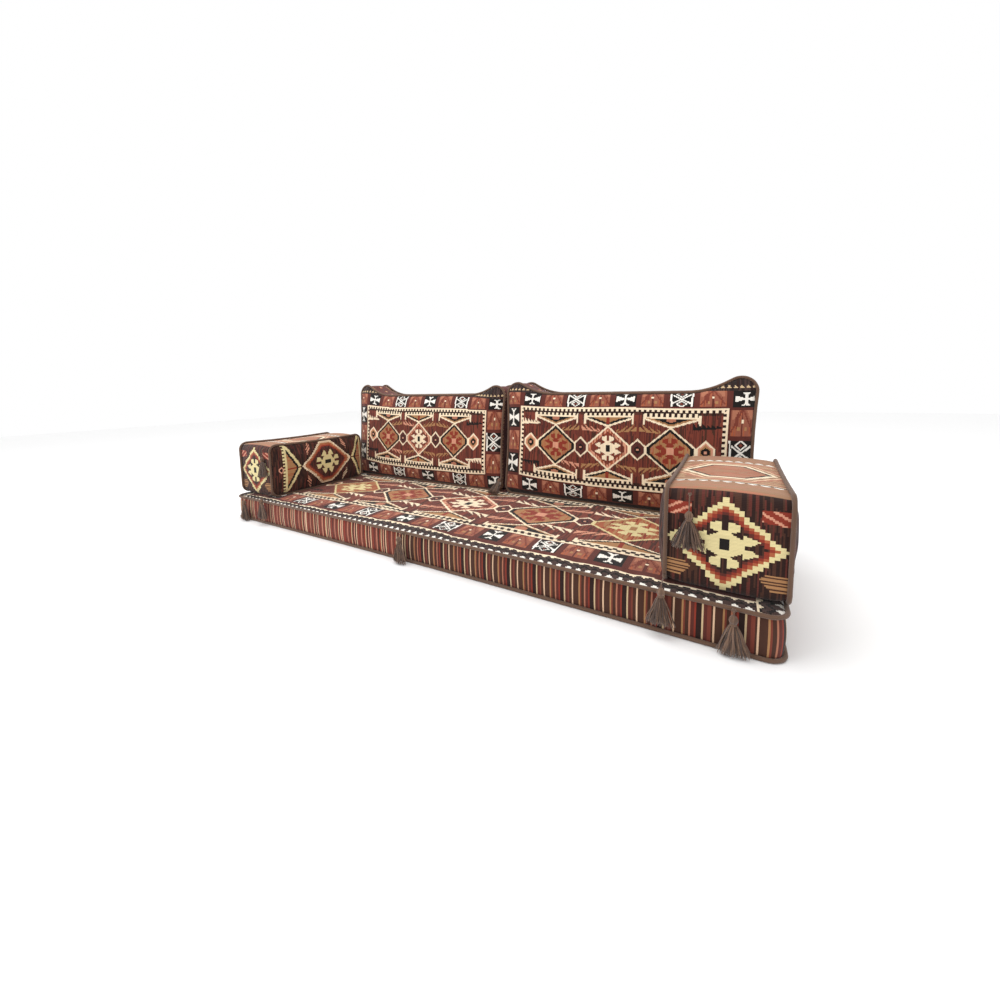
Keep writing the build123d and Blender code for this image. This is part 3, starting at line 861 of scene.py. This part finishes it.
def seat_bulge(normal, share, run):
    middle = 4 * share * (1 - share)
    puff = 0.0035 * (1 - (2 * share - 1) ** 2)
    pucker = 0.0007 * np.sin(run * 170.0 + 3 * np.sin(run * 11.0)) * (1 - middle)
    dent = 0.0012 * np.sin(run * 19.0 + 1.3) * middle
    return (puff + dent + pucker) * min(1.0, 3 * middle)


seat_zip_half = (seat_length - 2 * seam_in) / 2 - zip_margin
boxing = make_strip(
    "seat_striped_boxing", seat_top, seat_line, seat_across, 18, seat_bulge, paint_stripes,
    stripes, step=0.0035, zip_half=seat_zip_half,
)
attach(boxing, "seat")
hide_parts("seat_boxing")

for name, shift in (("top", 0.0), ("bottom", seat_across[2] + welt_lift)):
    welt = make_welt(f"seat_{name}_cord", seat_top, seat_line, shift)
    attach(welt, "seat")
    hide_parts(f"seat_{name}_welt")

still = (np.arange(-2.0, 4.0), np.arange(-2.0, 4.0), np.zeros((6, 6, 3)))
bottom_panel = make_panel(
    "seat_lining", seat_below, seat_line, lining_knot, 0.0, -cloth, seat_reach,
    lambda x, y: plain(len(x), "umber"), lining, still, soft=0.0,
)
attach(bottom_panel, "seat")
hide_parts("seat_bottom_panel")


# The two back cushions: boxed kilim covers over foam and wadding that lean on the seat's rear,
# with a round ear at each upper corner and a top line that drops between the ears.
back_width, back_height, back_thickness = 0.895, 0.47, 0.14
back_crown, back_rear_crown, back_reach = 0.028, 0.016, 0.12
back_knot, back_rear_knot, back_cell = 0.0029, 0.004, 0.0125
lean, rest_gap, rear_gap = radians(5.45), 0.0003, 0.0005
foot_z = seat_height + rest_gap + seam_in
backs_middle, backs_apart = 0.0565, 0.903  # both stand a little to the right, side by side
back_line = seam_line(
    back_width - 2 * seam_in, back_height - 2 * seam_in, (0.0, 0.008, 0.045), (0.03, 0.04),
    ear_run=0.2,
)
back_foot_y = seat_depth / 2 - back_thickness - rear_gap + welt_size / 2
back_across = np.array([0.0, back_thickness - welt_size, 0.0])
back_up, back_out = (0, sin(lean), cos(lean)), np.array((0, cos(lean), -sin(lean)))
zip_up, zip_flat = 0.027, 0.048  # a panel's foot stays flat round its zip


def paint_back(lift, slope):
    """A back's kilim, woven a little askew: a framed field of three medallions in a border of
    squares."""

    def paint(x, y):
        threads = plain(len(x), "oxblood")
        put = weaver(threads)
        my, pitch = y - lift - slope * x, 91.5
        for step in range(-1, 10):
            kind = ("cross", "orange", "hooks", "orange")[step % 4]
            a = (x - (-319 + step * pitch)) / (41.0 if kind == "orange" else 38.0)
            border_square(threads, a, (my - 170) / 25.0, kind)
            border_square(threads, a, (my + 174) / 28.0, kind)
        for way, kinds in ((-1, ("cross", "orange", "cross")), (1, ("orange", "hooks", "orange"))):
            for step, kind in zip((-1, 0, 1), kinds):
                border_square(threads, (way * x - 405) / 34.0, (my - step * 94.0) / 40.0, kind)
        for way in (-1, 1):
            depth = 436 - way * x
            put(depth < 0, "charcoal")
            put((depth > -4 - 5 * zigzag(my, 13.0)) & (depth < -1), "white")
        rise = my - 197
        put(rise > 0, "charcoal")
        streaked(threads, rise > 0, x, y, 2.9, ("slate", "espresso", "slate"))
        put((rise > 8) & (rise < 8 + 9 * (1 - 1.3 * zigzag(x, 17.0))), "ecru")
        put(rise < -402, "charcoal")
        medallions(
            threads, x, my, half=369.0, tall=141.0, big=(81.0, 79.0), small=(27.0, 38.0),
            knot=2.9, bar=89.0, spots=[(-211.0, "tan"), (-8.0, "flower"), (202.0, "tan")],
            links=[(-111.0, "tan", "pink"), (97.0, "tan", "tan")],
            ends=[
                (-320.0, ((1, "cream"), (-1, "black"))), (309.0, ((-1, "cream"), (1, "black"))),
            ],
        )
        return threads

    return paint


def hang_of_back(x, y):
    """How far a back's cover sags below its plain place, most in the middle."""
    middle = np.clip(1 - (x / 0.369) ** 2, 0, 1)
    heights, sags = (0.0, 0.07, 0.21, 0.352, 0.41), (0.004, 0.014, 0.0125, 0.004, 0.0)
    return middle * np.interp(y, heights, sags)


def resting_bulge(fullness, ripples, waves):
    """A boxing that swells out all round, but is pressed flat where the cushion rests."""

    def bulge(normal, share, run):
        puff = fullness * (1 - (2 * share - 1) ** 2)
        ripple = np.sin(run * ripples + 3 * np.sin(run * waves))
        pucker = 0.0008 * ripple * (1 - 4 * share * (1 - share))
        sit = 0.0087 * (1 - (2 * share - 1) ** 8)
        down = np.clip(-normal[:, 1] * 1.4, 0, 1)
        return (puff + pucker) * (1 - down) * min(1.0, 12 * share * (1 - share)) + sit * down

    return bulge


def paint_boxing(run, up, centre, length):
    """The backs' boxing: brick kilim with dark edges and a row of small triangles."""
    threads = plain(len(run), "umber")
    put = weaver(threads)
    edge = np.minimum(up, length - up)
    put(edge > 12, "oxblood")
    put((edge > 12) & (edge < 20 - 7 * zigzag(run, 15.0)), "tan")
    lozenge = np.abs((run / 46.0) % 1.0 - 0.5) * 46 + np.abs(up - length / 2)
    for far, name in ((20, "umber"), (14, "rust"), (6, "ecru")):
        put(lozenge < far, name)
    return threads


def ear_ease(left_ear, right_ear, way):
    """The two ears of a cushion are never quite as high as each other."""

    def smooth(share):
        share = np.clip(share, 0.0, 1.0)
        return share * share * (3 - 2 * share)

    def ease(x, y):
        rise = smooth((y - 0.28) / 0.14) * smooth((np.abs(x) - 0.2) / 0.2)
        return x, y + rise * np.where(x * way > 0, right_ear, left_ear)

    return ease


back_fill = swell(
    back_line, back_cell, back_crown, back_reach, foot_flat=0.0, loose=0.02, push=2.0,
    cap=0.012,
)
rear_fill = swell(
    back_line, back_cell, back_rear_crown, back_reach, foot_flat=zip_flat, loose=0.015,
    push=1.5, cap=0.008,
)
back_zip_half = (back_width - 2 * seam_in) / 2 - zip_margin
back_seams, arm_seams = {}, {}
for side, way, lift, slope, ears in (
    ("left", -1, 211.0, -0.012, (0.010, -0.009)),
    ("right", 1, 219.0, -0.004, (0.002, 0.002)),
):
    foot = np.array((backs_middle + way * backs_apart / 2, back_foot_y, foot_z))
    front = axes(foot, (1, 0, 0), back_up, -back_out, ear_ease(*ears, 1))
    rear = axes(foot + back_across, (-1, 0, 0), back_up, back_out, ear_ease(*ears, -1))
    back_seams[side] = (front, rear)
    body = f"{side}_back"
    front_panel = make_panel(
        f"{body}_front_kilim", front, back_line, back_knot, lift / 1000, back_crown - cloth,
        back_reach, paint_back(lift, slope), kilim, back_fill, hang=hang_of_back,
    )
    rear_panel = make_panel(
        f"{body}_rear_kilim", rear, back_line, back_rear_knot, lift / 1000,
        back_rear_crown - cloth, back_reach, paint_back(lift, 0.0), kilim, rear_fill,
        zip_at=(back_zip_half, zip_up), foot_flat=zip_flat,
    )
    strip = make_strip(
        f"{body}_kilim_boxing", front, back_line, back_across, 26,
        resting_bulge(0.004, 150.0, 9.0), paint_boxing, kilim, step=0.004,
    )
    for piece, node in (
        (front_panel, "front_panel"), (rear_panel, "rear_panel"), (strip, "boxing"),
    ):
        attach(piece, body)
        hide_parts(f"{body}_{node}")
    for seam, word in ((front, "front"), (rear, "rear")):
        welt = make_welt(f"{body}_{word}_cord", seam, back_line)
        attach(welt, body)
        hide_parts(f"{body}_{word}_welt")


# The two arm cushions: a panel on the inner and the outer side, and one strip of kilim that
# wraps the front, the top, the back and the foot between them.
arm_width, arm_depth, arm_height = 0.237, 0.486, 0.23
arm_crown, arm_outer_crown, arm_reach = 0.015, 0.009, 0.05
arm_knot, arm_cell, arm_middle = 0.0029, 0.01, 0.108
arm_line = seam_line(
    arm_depth - 2 * seam_in, arm_height - 2 * seam_in, (0.0, 0.0, 0.005), (0.025, 0.025)
)
arm_behind_front, arm_beyond_end = 0.033, 0.001
arm_front = -seat_depth / 2 + arm_behind_front
arm_inner_x = seat_length / 2 + arm_beyond_end - arm_width


def paint_arm_side(x, y):
    """An arm's side: an espresso ground, a big medallion and a chevron at each end."""
    knot = 2.9
    threads = plain(len(x), "espresso")
    mx, my = x - 24.0, y - 108.0
    across, level = np.abs(mx), np.abs(my)
    streaked(threads, y > -20, x, y, knot, ("umber", "oxblood", "umber"))
    inside = level < 101
    at_front = mx < 0
    base = np.where(at_front, 202, 196)
    line = 140 + np.where(at_front, 0.62, 0.5) * stepped(level, 4.0)
    put = weaver(threads, inside & (across < base))
    put(across > line, "tan")
    streaked(threads, inside & (across > line) & (across < base), y, x, knot, ("orange", "tan"))
    put((across > line) & (level < 3.5), "rust")
    put(np.abs(across - line - 11) < 6.5, "black")
    put = weaver(threads, inside)
    put((np.abs(across - line) < 6.5) & (level > 3), "straw")
    put((across >= base) & (across < base + 8), "straw")
    put((across >= base) & (across < base + 17) & (np.floor(my / 7.0) % 2 == 0), "straw")
    put = weaver(threads)
    slant = np.abs(stepped(mx, 4.35)) / 131 + np.abs(stepped(my, 4.35)) / 128
    d = np.maximum(slant, level / 99)
    comb_line = np.floor(mx / knot) % 2 == 0
    put(d < 1.0, "cream")
    put((d < 0.96) & comb_line, "tan")
    put(d < 0.9, "orange")
    put((d < 0.9) & (d > 0.85) & comb_line, "tan")
    put(d < 0.79, "rust")
    put(d < 0.74, "oxblood")
    streaked(threads, d < 0.72, x, y, knot, ("espresso", "umber", "espresso"))
    flower(threads, my / 57.0, mx / 65.0, "straw", "black")
    for a, b, name in ((-1, 1, "pink"), (1, 1, "pink"), (-1, -1, "pink"), (1, -1, "cream")):
        u, v = a * mx - 96, b * my - 76
        leaf = (np.abs(u + 0.3 * v) < 11 - 0.35 * np.abs(v)) & ((v + u) % 12 < 7)
        put(leaf & (d > 1.04) & (across < line - 9), name)
    small = np.abs(across - 226) + level * 0.8
    put((small < 12) & at_front, "pink")
    put((small < 7) & at_front, "espresso")
    return threads


def paint_turned(x, y):
    """The same for a panel that runs the other way, set a little towards the rear."""
    return paint_arm_side(-x - 14.0, y)


def paint_wrap(run, up, centre, length):
    """The wrap: a stepped medallion on the front and the back, long hexagons over the top."""
    threads = plain(len(run), "espresso")
    x, y = centre[:, 0], centre[:, 1]
    mx, my = up - length / 2, y - 103.0
    half, knot = 234.0, 3.0
    streaked(threads, y > -20, mx, y, knot, ("umber", "oxblood", "umber"))
    ends = np.abs(x) > half - 14
    put = weaver(threads, ends)
    d = np.abs(np.round(mx / 9.2)) * 9.2 / 112 + np.abs(np.round(my / 6.6)) * 6.6 / 97
    for far, name in (
        (1.0, "straw"), (0.87, "orange"), (0.8, "rust"), (0.72, "oxblood"), (0.66, "espresso"),
    ):
        put(d < far, name)
    streaked(threads, ends & (d < 0.66), mx, y, knot, ("umber", "espresso"))
    flower(threads, mx / 63.0, my / 53.0, "straw", "black", ends)
    for a in (-1, 1):
        out = a * mx - 62
        corner = (out > 0) & (my > 58 - 0.16 * out) & (my < 82) & (d > 1.05)
        put(corner, "rust")
        put(corner & ((0.6 * out + (my - 55)) % 18 < 6), "pink")
        low = (a * mx > 62 + 0.9 * np.abs(my + 62)) & (my < -50) & (my > -84)
        put(low, "tan")
        put(low & (my % 8 < 3), "umber")

    top = (y > 185) & ~(ends & (y < 218))
    put = weaver(threads, top)
    depth = half - np.abs(x) + np.where(y < 205, y - 206, 0)
    put(top, "fawn")
    streaked(threads, top, depth, mx, knot, ("fawn", "rose"))
    row = np.abs(depth - 250.0)
    scallop = 150 + 15.0 * np.abs(((mx / 24.0) % 1.0) * 2 - 1)
    for far, name in ((scallop, "white"), (150, "black"), (145, "shell"), (139, "fawn")):
        put(row < far, name)
    field = top & (row < 139)
    put = weaver(threads, field)
    streaked(threads, field, depth, mx, knot, ("clay", "rose", "ecru"))
    d = np.maximum(row / 94.0, (0.7 * row + np.abs(mx)) / 104.0)
    for far, name in (
        (1.4, "rose"), (1.3, "shell"), (1.22, "fawn"), (1.12, "cream"), (1.0, "black"),
        (0.92, "rose"),
    ):
        put(d < far, name)
    streaked(threads, field & (d < 0.92), depth, mx, knot, ("orange", "fawn", "fawn"))
    return threads


arm_fill = swell(
    arm_line, arm_cell, arm_crown, arm_reach, foot_flat=0.0, loose=0.02, push=2.0, cap=0.006,
)
outer_fill = swell(
    arm_line, arm_cell, arm_outer_crown, arm_reach, foot_flat=zip_flat, loose=0.015, push=1.0,
    cap=0.004,
)
arm_zip_half = (arm_depth - 2 * seam_in) / 2 - zip_margin
for side, way, paint_inner, paint_outer in (
    ("left", -1, paint_arm_side, paint_turned),
    ("right", 1, paint_turned, paint_arm_side),
):
    foot = np.array((way * (arm_inner_x + welt_size / 2), arm_front + arm_depth / 2, foot_z))
    arm_across = np.array([way * (arm_width - welt_size), 0.0, 0.0])
    inner = axes(foot, (0, -way, 0), (0, 0, 1), (-way, 0, 0))
    outer = axes(foot + arm_across, (0, way, 0), (0, 0, 1), (way, 0, 0))
    arm_seams[side] = (inner, outer, arm_across)
    body = f"{side}_arm"
    inner_panel = make_panel(
        f"{body}_inner_kilim", inner, arm_line, arm_knot, arm_middle, arm_crown - cloth,
        arm_reach, paint_inner, kilim, arm_fill,
    )
    outer_panel = make_panel(
        f"{body}_outer_kilim", outer, arm_line, arm_knot, arm_middle, arm_outer_crown - cloth,
        arm_reach, paint_outer, kilim, outer_fill, zip_at=(arm_zip_half, zip_up),
        foot_flat=zip_flat,
    )
    strip = make_strip(
        f"{body}_kilim_wrap", inner, arm_line, arm_across, 76,
        resting_bulge(0.007, 160.0, 10.0), paint_wrap, kilim, step=0.003,
    )
    for piece, node in (
        (inner_panel, "inner_panel"), (outer_panel, "outer_panel"), (strip, "wrap"),
    ):
        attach(piece, body)
        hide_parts(f"{body}_{node}")
    for seam, word in ((inner, "inner"), (outer, "outer")):
        welt = make_welt(f"{body}_{word}_cord", seam, arm_line)
        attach(welt, body)
        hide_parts(f"{body}_{word}_welt")


# The foam blocks inside the five covers: cut foam with rounded edges, in each cover loosely
# enough to be pulled out through the zip.
foam_gap, foam_round = 0.011, 0.006
foam, foam_tree, foam_shader = new_material("cut_foam")
foam_place = add_node(foam_tree, "TexCoord").outputs["Object"]
cells = add_node(foam_tree, "TexVoronoi", {"Scale": 700.0, "Vector": foam_place})
depth = cells.outputs["Distance"]
shade = add_node(foam_tree, "MapRange", {"To Min": 0.3, "To Max": 0.75, "Value": depth})
tint = add_node(foam_tree, "Mix", data_type="RGBA", inputs={
    "A": (0.45, 0.38, 0.22, 1.0), "B": (0.86, 0.8, 0.6, 1.0), "Factor": shade.outputs[0],
})
feed(foam_tree, foam_shader, {
    "Base Color": tint.outputs["Result"], "Normal": add_relief(foam_tree, depth, 1.0, 0.0008),
    "Roughness": 0.95,
})


def make_foam(body, seam, line, across):
    """A block cut along the cover's outline, its edges rounded off."""
    length = float(np.linalg.norm(across))
    ring = evenly(line, 0.012)
    levels = [
        (foam_gap + foam_round * (1 - sin(t)), foam_gap + foam_round * (1 - cos(t)))
        for t in np.linspace(0.0, pi / 2, 4)
    ]
    levels += [(inset, length - share) for inset, share in levels[::-1]]
    count, rows = len(ring), len(levels)
    points = []
    for inset, share in levels:
        at = beside(ring, -inset)
        points.append(set_out(seam, at[:, 0], at[:, 1], np.zeros(count)) + across / length * share)
    faces = ring_quads(rows, count, closed=False).tolist()
    faces += [list(range(count)), list(range(rows * count - 1, (rows - 1) * count - 1, -1))]
    block = new_piece(f"{body}_foam_block", np.vstack(points), faces, foam)
    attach(block, body)
    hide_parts(f"{body}_core")


# The zips that close the covers: a woven tape behind the opening, two rows of metal teeth that
# lock together, a stop at each end, and a slider with a pull tab.
tape_wide, tape_thick, tooth_pitch, stop_long, stop_wide = 0.024, 0.0012, 0.0025, 0.005, 0.005
tooth_size = np.array((0.0014, 0.0034, 0.0022))
tape_cloth = cloth_material("zip_tape_cloth", 1600.0, 1100.0, 0.05, 0.4, 0.05, "charcoal")


def metal_material(name, bright, dull, roughness):
    """Cast or stamped metal, duller where fingers and cloth have rubbed it."""
    material, tree, shader = new_material(name)
    place = add_node(tree, "TexCoord").outputs["Object"]
    rubbing = {"Scale": 260.0, "Detail": 5.0, "Vector": place}
    rub = add_node(tree, "TexNoise", rubbing).outputs["Fac"]
    shades = {"A": (*bright, 1.0), "B": (*dull, 1.0), "Factor": rub}
    gloss = {"To Min": roughness, "To Max": roughness + 0.25, "Value": rub}
    feed(tree, shader, {
        "Base Color": add_node(tree, "Mix", shades, data_type="RGBA").outputs["Result"],
        "Roughness": add_node(tree, "MapRange", gloss).outputs[0],
        "Normal": add_relief(tree, rub, 0.2, 0.0002),
        "Metallic": 1.0,
    })
    return material


tooth_metal = metal_material("zip_teeth_metal", (0.58, 0.42, 0.24), (0.36, 0.24, 0.13), 0.3)
slider_metal = metal_material("zip_slider_metal", (0.5, 0.38, 0.24), (0.22, 0.16, 0.11), 0.25)


def make_tape(body, seam, middle, length):
    """The woven tape, slightly wavy along its free edges."""
    columns, rows = int(length / 0.01), 6
    xs = np.linspace(-length / 2, length / 2, columns + 1)
    points, weave = [], []
    for lift in (0.0002, tape_thick - 0.0001):
        for up in np.linspace(-tape_wide / 2, tape_wide / 2, rows + 1):
            edge = (abs(up) / (tape_wide / 2)) ** 2
            out = lift + 0.0001 * edge * np.sin(xs * 90.0)
            points.append(set_out(seam, xs, np.full_like(xs, middle + up), out))
            weave.append(np.stack([xs, np.full_like(xs, up)], 1))
    across = len(xs)
    top = (rows + 1) * across
    faces = []
    for row in range(rows):
        for low in range(row * across, row * across + columns):
            high = top + low
            faces.append((low, low + across, low + across + 1, low + 1))
            faces.append((high, high + 1, high + across + 1, high + across))
    for k in range(columns):
        last = rows * across + k
        faces.append((k, k + 1, top + k + 1, top + k))
        faces.append((last, top + last, top + last + 1, last + 1))
    for row in range(rows):
        a, b = row * across, (row + 1) * across
        faces.append((a, top + a, top + b, b))
        a, b = a + columns, b + columns
        faces.append((a, b, top + b, top + a))
    return new_piece(
        f"{body}_zip_woven_tape", np.vstack(points), faces, tape_cloth, None, np.vstack(weave)
    )


def make_teeth(body, seam, middle, length):
    """The two rows of teeth, locked together, with a stop at each end."""
    bpy.ops.mesh.primitive_cube_add(size=1.0)
    tooth = bpy.context.object
    tooth.scale = tooth_size
    bpy.ops.object.transform_apply(location=False, rotation=False, scale=True)
    edge = tooth.modifiers.new("rounding", "BEVEL")
    edge.width, edge.segments, edge.limit_method = 0.0004, 1, "NONE"
    bpy.ops.object.modifier_apply(modifier="rounding")
    one = np.array([v.co[:] for v in tooth.data.vertices])
    one_faces = np.array([face.vertices[:] for face in tooth.data.polygons], dtype=object)
    bpy.data.objects.remove(tooth)
    places = np.arange(-length / 2 + stop_long + 0.001, length / 2 - stop_long, tooth_pitch / 2)
    level = tape_thick
    teeth = [
        one + (at, middle + (0.0008 if rank % 2 else -0.0008), level)
        for rank, at in enumerate(places)
    ]
    stop = one * (stop_long / tooth_size[0], stop_wide / tooth_size[1], 1.05)
    teeth += [stop + (end * (length - stop_long) / 2, middle, level) for end in (-1, 1)]
    faces = [
        [i + rank * len(one) for i in face] for rank in range(len(teeth)) for face in one_faces
    ]
    points = set_out(seam, *np.vstack(teeth).T)
    piece = new_piece(f"{body}_zip_teeth", points, faces, tooth_metal)
    piece.data.polygons.foreach_set("use_smooth", np.zeros(len(faces), dtype=bool))
    return piece


def make_zip(body, seam, middle, length):
    """A zip along a seam's foot, or along the middle of the seat's rear."""
    tape = make_tape(body, seam, middle, length)
    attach(tape, body)
    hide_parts(f"{body}_zip_tape")
    teeth = make_teeth(body, seam, middle, length)
    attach(teeth, body)
    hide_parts(f"{body}_zip_chain")
    for part in ("slider", "pull"):
        for held in bpy.data.objects[f"{body}_zip_{part}"].material_slots:
            held.material = slider_metal


rear_y, rear_z = seat_depth / 2 - seam_in - cloth, (seat_height - seat_crown + cloth) / 2
seat_rear = axes((0.0, rear_y, rear_z), (-1, 0, 0), (0, 0, 1), (0, 1, 0))
make_foam("seat", seat_top, seat_line, seat_across)
make_zip("seat", seat_rear, 0.0, 2 * seat_zip_half)
for side in ("left", "right"):
    front, rear = back_seams[side]
    make_foam(f"{side}_back", front, back_line, back_across)
    make_zip(f"{side}_back", rear, zip_up, 2 * back_zip_half)
    inner, outer, arm_across = arm_seams[side]
    make_foam(f"{side}_arm", inner, arm_line, arm_across)
    make_zip(f"{side}_arm", outer, zip_up, 2 * arm_zip_half)


# The nine tassels: a hank of wool looped over a twisted cord, wound into a round head, bound
# with a collar and cut off below. The cord is knotted round the welt.
head_size, collar_size, collar_high, skirt_long = 0.017, 0.013, 0.005, 0.066
strands, loops, plies, knot_size = 150, 26, 2, 0.0034
strand_thick, loop_thick, cord_thick, knot_thick = 0.00075, 0.0012, 0.0009, 0.0013
yarns["wool"], yarns["worn_wool"] = (56, 37, 29), (158, 122, 96)
tassel_yarn, wool_tree, wool_shader = new_material("tassel_wool")
wool_place = add_node(wool_tree, "TexCoord").outputs["Object"]
twist = add_node(wool_tree, "TexNoise", {"Scale": 1400.0, "Vector": wool_place}).outputs["Fac"]
shade = add_node(wool_tree, "MapRange", {"To Min": 0.65, "To Max": 1.3, "Value": twist})
tint = add_node(wool_tree, "VectorMath", operation="SCALE", inputs={
    0: add_node(wool_tree, "VertexColor", layer_name="yarn").outputs["Color"],
    "Scale": shade.outputs[0],
})
feed(wool_tree, wool_shader, {
    "Base Color": tint.outputs[0], "Normal": add_relief(wool_tree, twist, 0.6, 0.0004),
    "Roughness": 0.9, "Sheen Weight": 0.25,
})


def tube(path, radius, sides=5):
    """A thread or cord along a path: its points and faces, closed at both ends."""
    along = np.gradient(path, axis=0)
    along /= np.linalg.norm(along, axis=1)[:, None]
    first = np.cross(along, np.array([0.3, 0.9, 0.2]))
    first /= np.linalg.norm(first, axis=1)[:, None]
    second = np.cross(along, first)
    rings = len(path)
    radii = np.broadcast_to(radius, rings)
    points = np.empty((rings, sides, 3))
    for side in range(sides):
        angle = 2 * pi * side / sides
        points[:, side] = path + radii[:, None] * (first * cos(angle) + second * sin(angle))
    faces = ring_quads(rings, sides, closed=False)[:, turned_over].tolist()
    faces += [list(range(sides))[::-1], [(rings - 1) * sides + b for b in range(sides)]]
    return points.reshape(-1, 3), faces


def make_tassel(name, cord, down, deep, skirt, seed):
    """A tassel below the last point of its cord: skirt is its width and thickness at the cut
    end."""
    chance = np.random.default_rng(seed)
    top = np.array(cord[-1], dtype=float)
    down, deep = (np.array(v, dtype=float) / np.linalg.norm(v) for v in (down, deep))
    wide = np.array(sideways, dtype=float)
    points, faces, shades = [], [], []

    def add(part, light):
        """Adds a thread: light is how much of its wool's colour is worn off."""
        some, those = part
        base = sum(len(p) for p in points)
        faces.extend([i + base for i in face] for face in those)
        points.append(some)
        shades.extend([dye("wool") * (1 - light) + dye("worn_wool") * light] * len(those))

    def at(x, y, z, start=top):
        return (
            start + np.multiply.outer(x, wide) + np.multiply.outer(y, deep)
            + np.multiply.outer(z, down)
        )

    for _ in range(strands):
        spin = 2 * pi * chance.random()
        spread = sqrt(chance.random())
        s = np.linspace(0.0, 1.0, 7)
        reach = 0.93 + 0.1 * chance.random() - 0.12 * spread * chance.random()
        flare = s ** (0.75 + 0.35 * chance.random())
        wave = 0.0016 * np.sin(s * (5 + 5 * chance.random()) + 6 * chance.random()) * s
        bound = collar_size / 2 * 0.8 * (1 - flare)
        x = (bound + skirt[0] / 2 * flare) * spread * cos(spin) + wave
        y = (bound + skirt[1] / 2 * flare) * spread * sin(spin) + wave * 0.5
        y = np.maximum(y, -skirt[1] / 2)
        z = head_size + collar_high * 0.3 + (skirt_long + collar_high * 0.5) * reach * s
        thick = np.full(7, strand_thick + 0.00025 * chance.random())
        thick[-1] *= 0.6
        add(tube(at(x, y, z), thick, 4), 0.75 * chance.random() ** 1.6)
    for rank in range(loops):
        spin = 2 * pi * rank / loops
        s = np.linspace(0.0, 1.0, 9)
        belly = head_size / 2 * np.sin(pi * (0.06 + 0.8 * s)) ** 0.7 - 0.0011
        x, y = belly * np.cos(spin + 0.25 * s), belly * np.sin(spin + 0.25 * s)
        z = head_size * (0.06 + 0.98 * s)
        add(tube(at(x, y, z), loop_thick), 0.15 + 0.4 * chance.random())
    turns = np.linspace(0.0, 2 * pi * 4, 72)
    coil = collar_size / 2 - 0.0008
    z = head_size + 0.0004 + (collar_high - 0.0008) * turns / turns[-1]
    add(tube(at(coil * np.cos(turns), coil * np.sin(turns), z), cord_thick), 0.35)
    route = np.array(cord, dtype=float)
    shares = np.linspace(0.0, 1.0, 16, endpoint=False)[:, None]
    dense = [a + (b - a) * shares for a, b in zip(route[:-1], route[1:])]
    dense = np.concatenate([*dense, route[-1:] + down * 0.003])
    for _ in range(3):
        dense[1:-1] = (dense[:-2] + 2 * dense[1:-1] + dense[2:]) / 4
    run = np.r_[0.0, np.cumsum(np.linalg.norm(np.diff(dense, axis=0), axis=1))]
    for ply in range(plies):
        twist = run * 900.0 + pi * ply
        offset = np.multiply.outer(np.cos(twist), wide) + np.multiply.outer(np.sin(twist), deep)
        add(tube(dense + 0.0008 * offset, cord_thick), 0.3 + 0.1 * ply)
    wraps = np.linspace(0.0, 2 * pi * 3, 54)
    ball = knot_size * np.sin(pi * (0.16 + 0.68 * wraps / wraps[-1]))
    z = 0.0056 * (wraps / wraps[-1] - 0.5)
    add(tube(at(ball * np.cos(wraps), ball * np.sin(wraps), z, route[0]), knot_thick), 0.3)
    piece = new_piece(
        f"{name}_of_wool", np.vstack(points), faces, tassel_yarn, np.array(shades)
    )
    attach(piece, name)
    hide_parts(name)


plumb, sideways, forward = (0, 0, -1), (1, 0, 0), (0, -1, 0)
hang_y = -0.3614  # clear of the seat's front welt
for rank, (name, x, knot_y, wide) in enumerate((
    ("seat_left_tassel", -0.904, -0.351393, 0.066),
    ("seat_middle_tassel", 0.0, -0.3439, 0.054),
    ("seat_right_tassel", 0.904, -0.351393, 0.066),
)):
    cord = ((x, knot_y, 0.095), (x, hang_y + 0.003, 0.0955), (x, hang_y, 0.09))
    make_tassel(name, cord, plumb, forward, (wide, 0.02), 11 + rank)
for rank, (side, way) in enumerate((("left", -1), ("right", 1))):
    x = way * 0.815
    cord = ((x, -0.306912, 0.312), (x, -0.317, 0.3105), (x, -0.31915, 0.27805))
    make_tassel(f"{side}_arm_front_tassel", cord, plumb, forward, (0.07, 0.021), 21 + rank)
    x = way * 0.7685
    cord = ((x, -0.316419, 0.12085), (x, -0.3574, 0.11885), (x, hang_y, 0.11385))
    make_tassel(f"{side}_arm_corner_tassel", cord, plumb, forward, (0.064, 0.02), 31 + rank)
tilt = radians(55.0)
down = np.array((0.0, -sin(tilt), -cos(tilt)))
cord = [(0.0446305, 0.211762, 0.166009) + far * down for far in (0.0, 0.0025, 0.005)]
make_tassel("left_back_tassel", cord, down, (0, -cos(tilt), sin(tilt)), (0.054, 0.02), 41)
x = 0.945031
cord = ((x, 0.217271, 0.223747), (x, 0.197, 0.2225), (x, 0.1945, 0.211747))
make_tassel("right_back_tassel", cord, plumb, forward, (0.054, 0.02), 42)


size = {
    "cad": [list(corner) for corner in cad_box],
    "visual": [list(corner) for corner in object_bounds()],
}
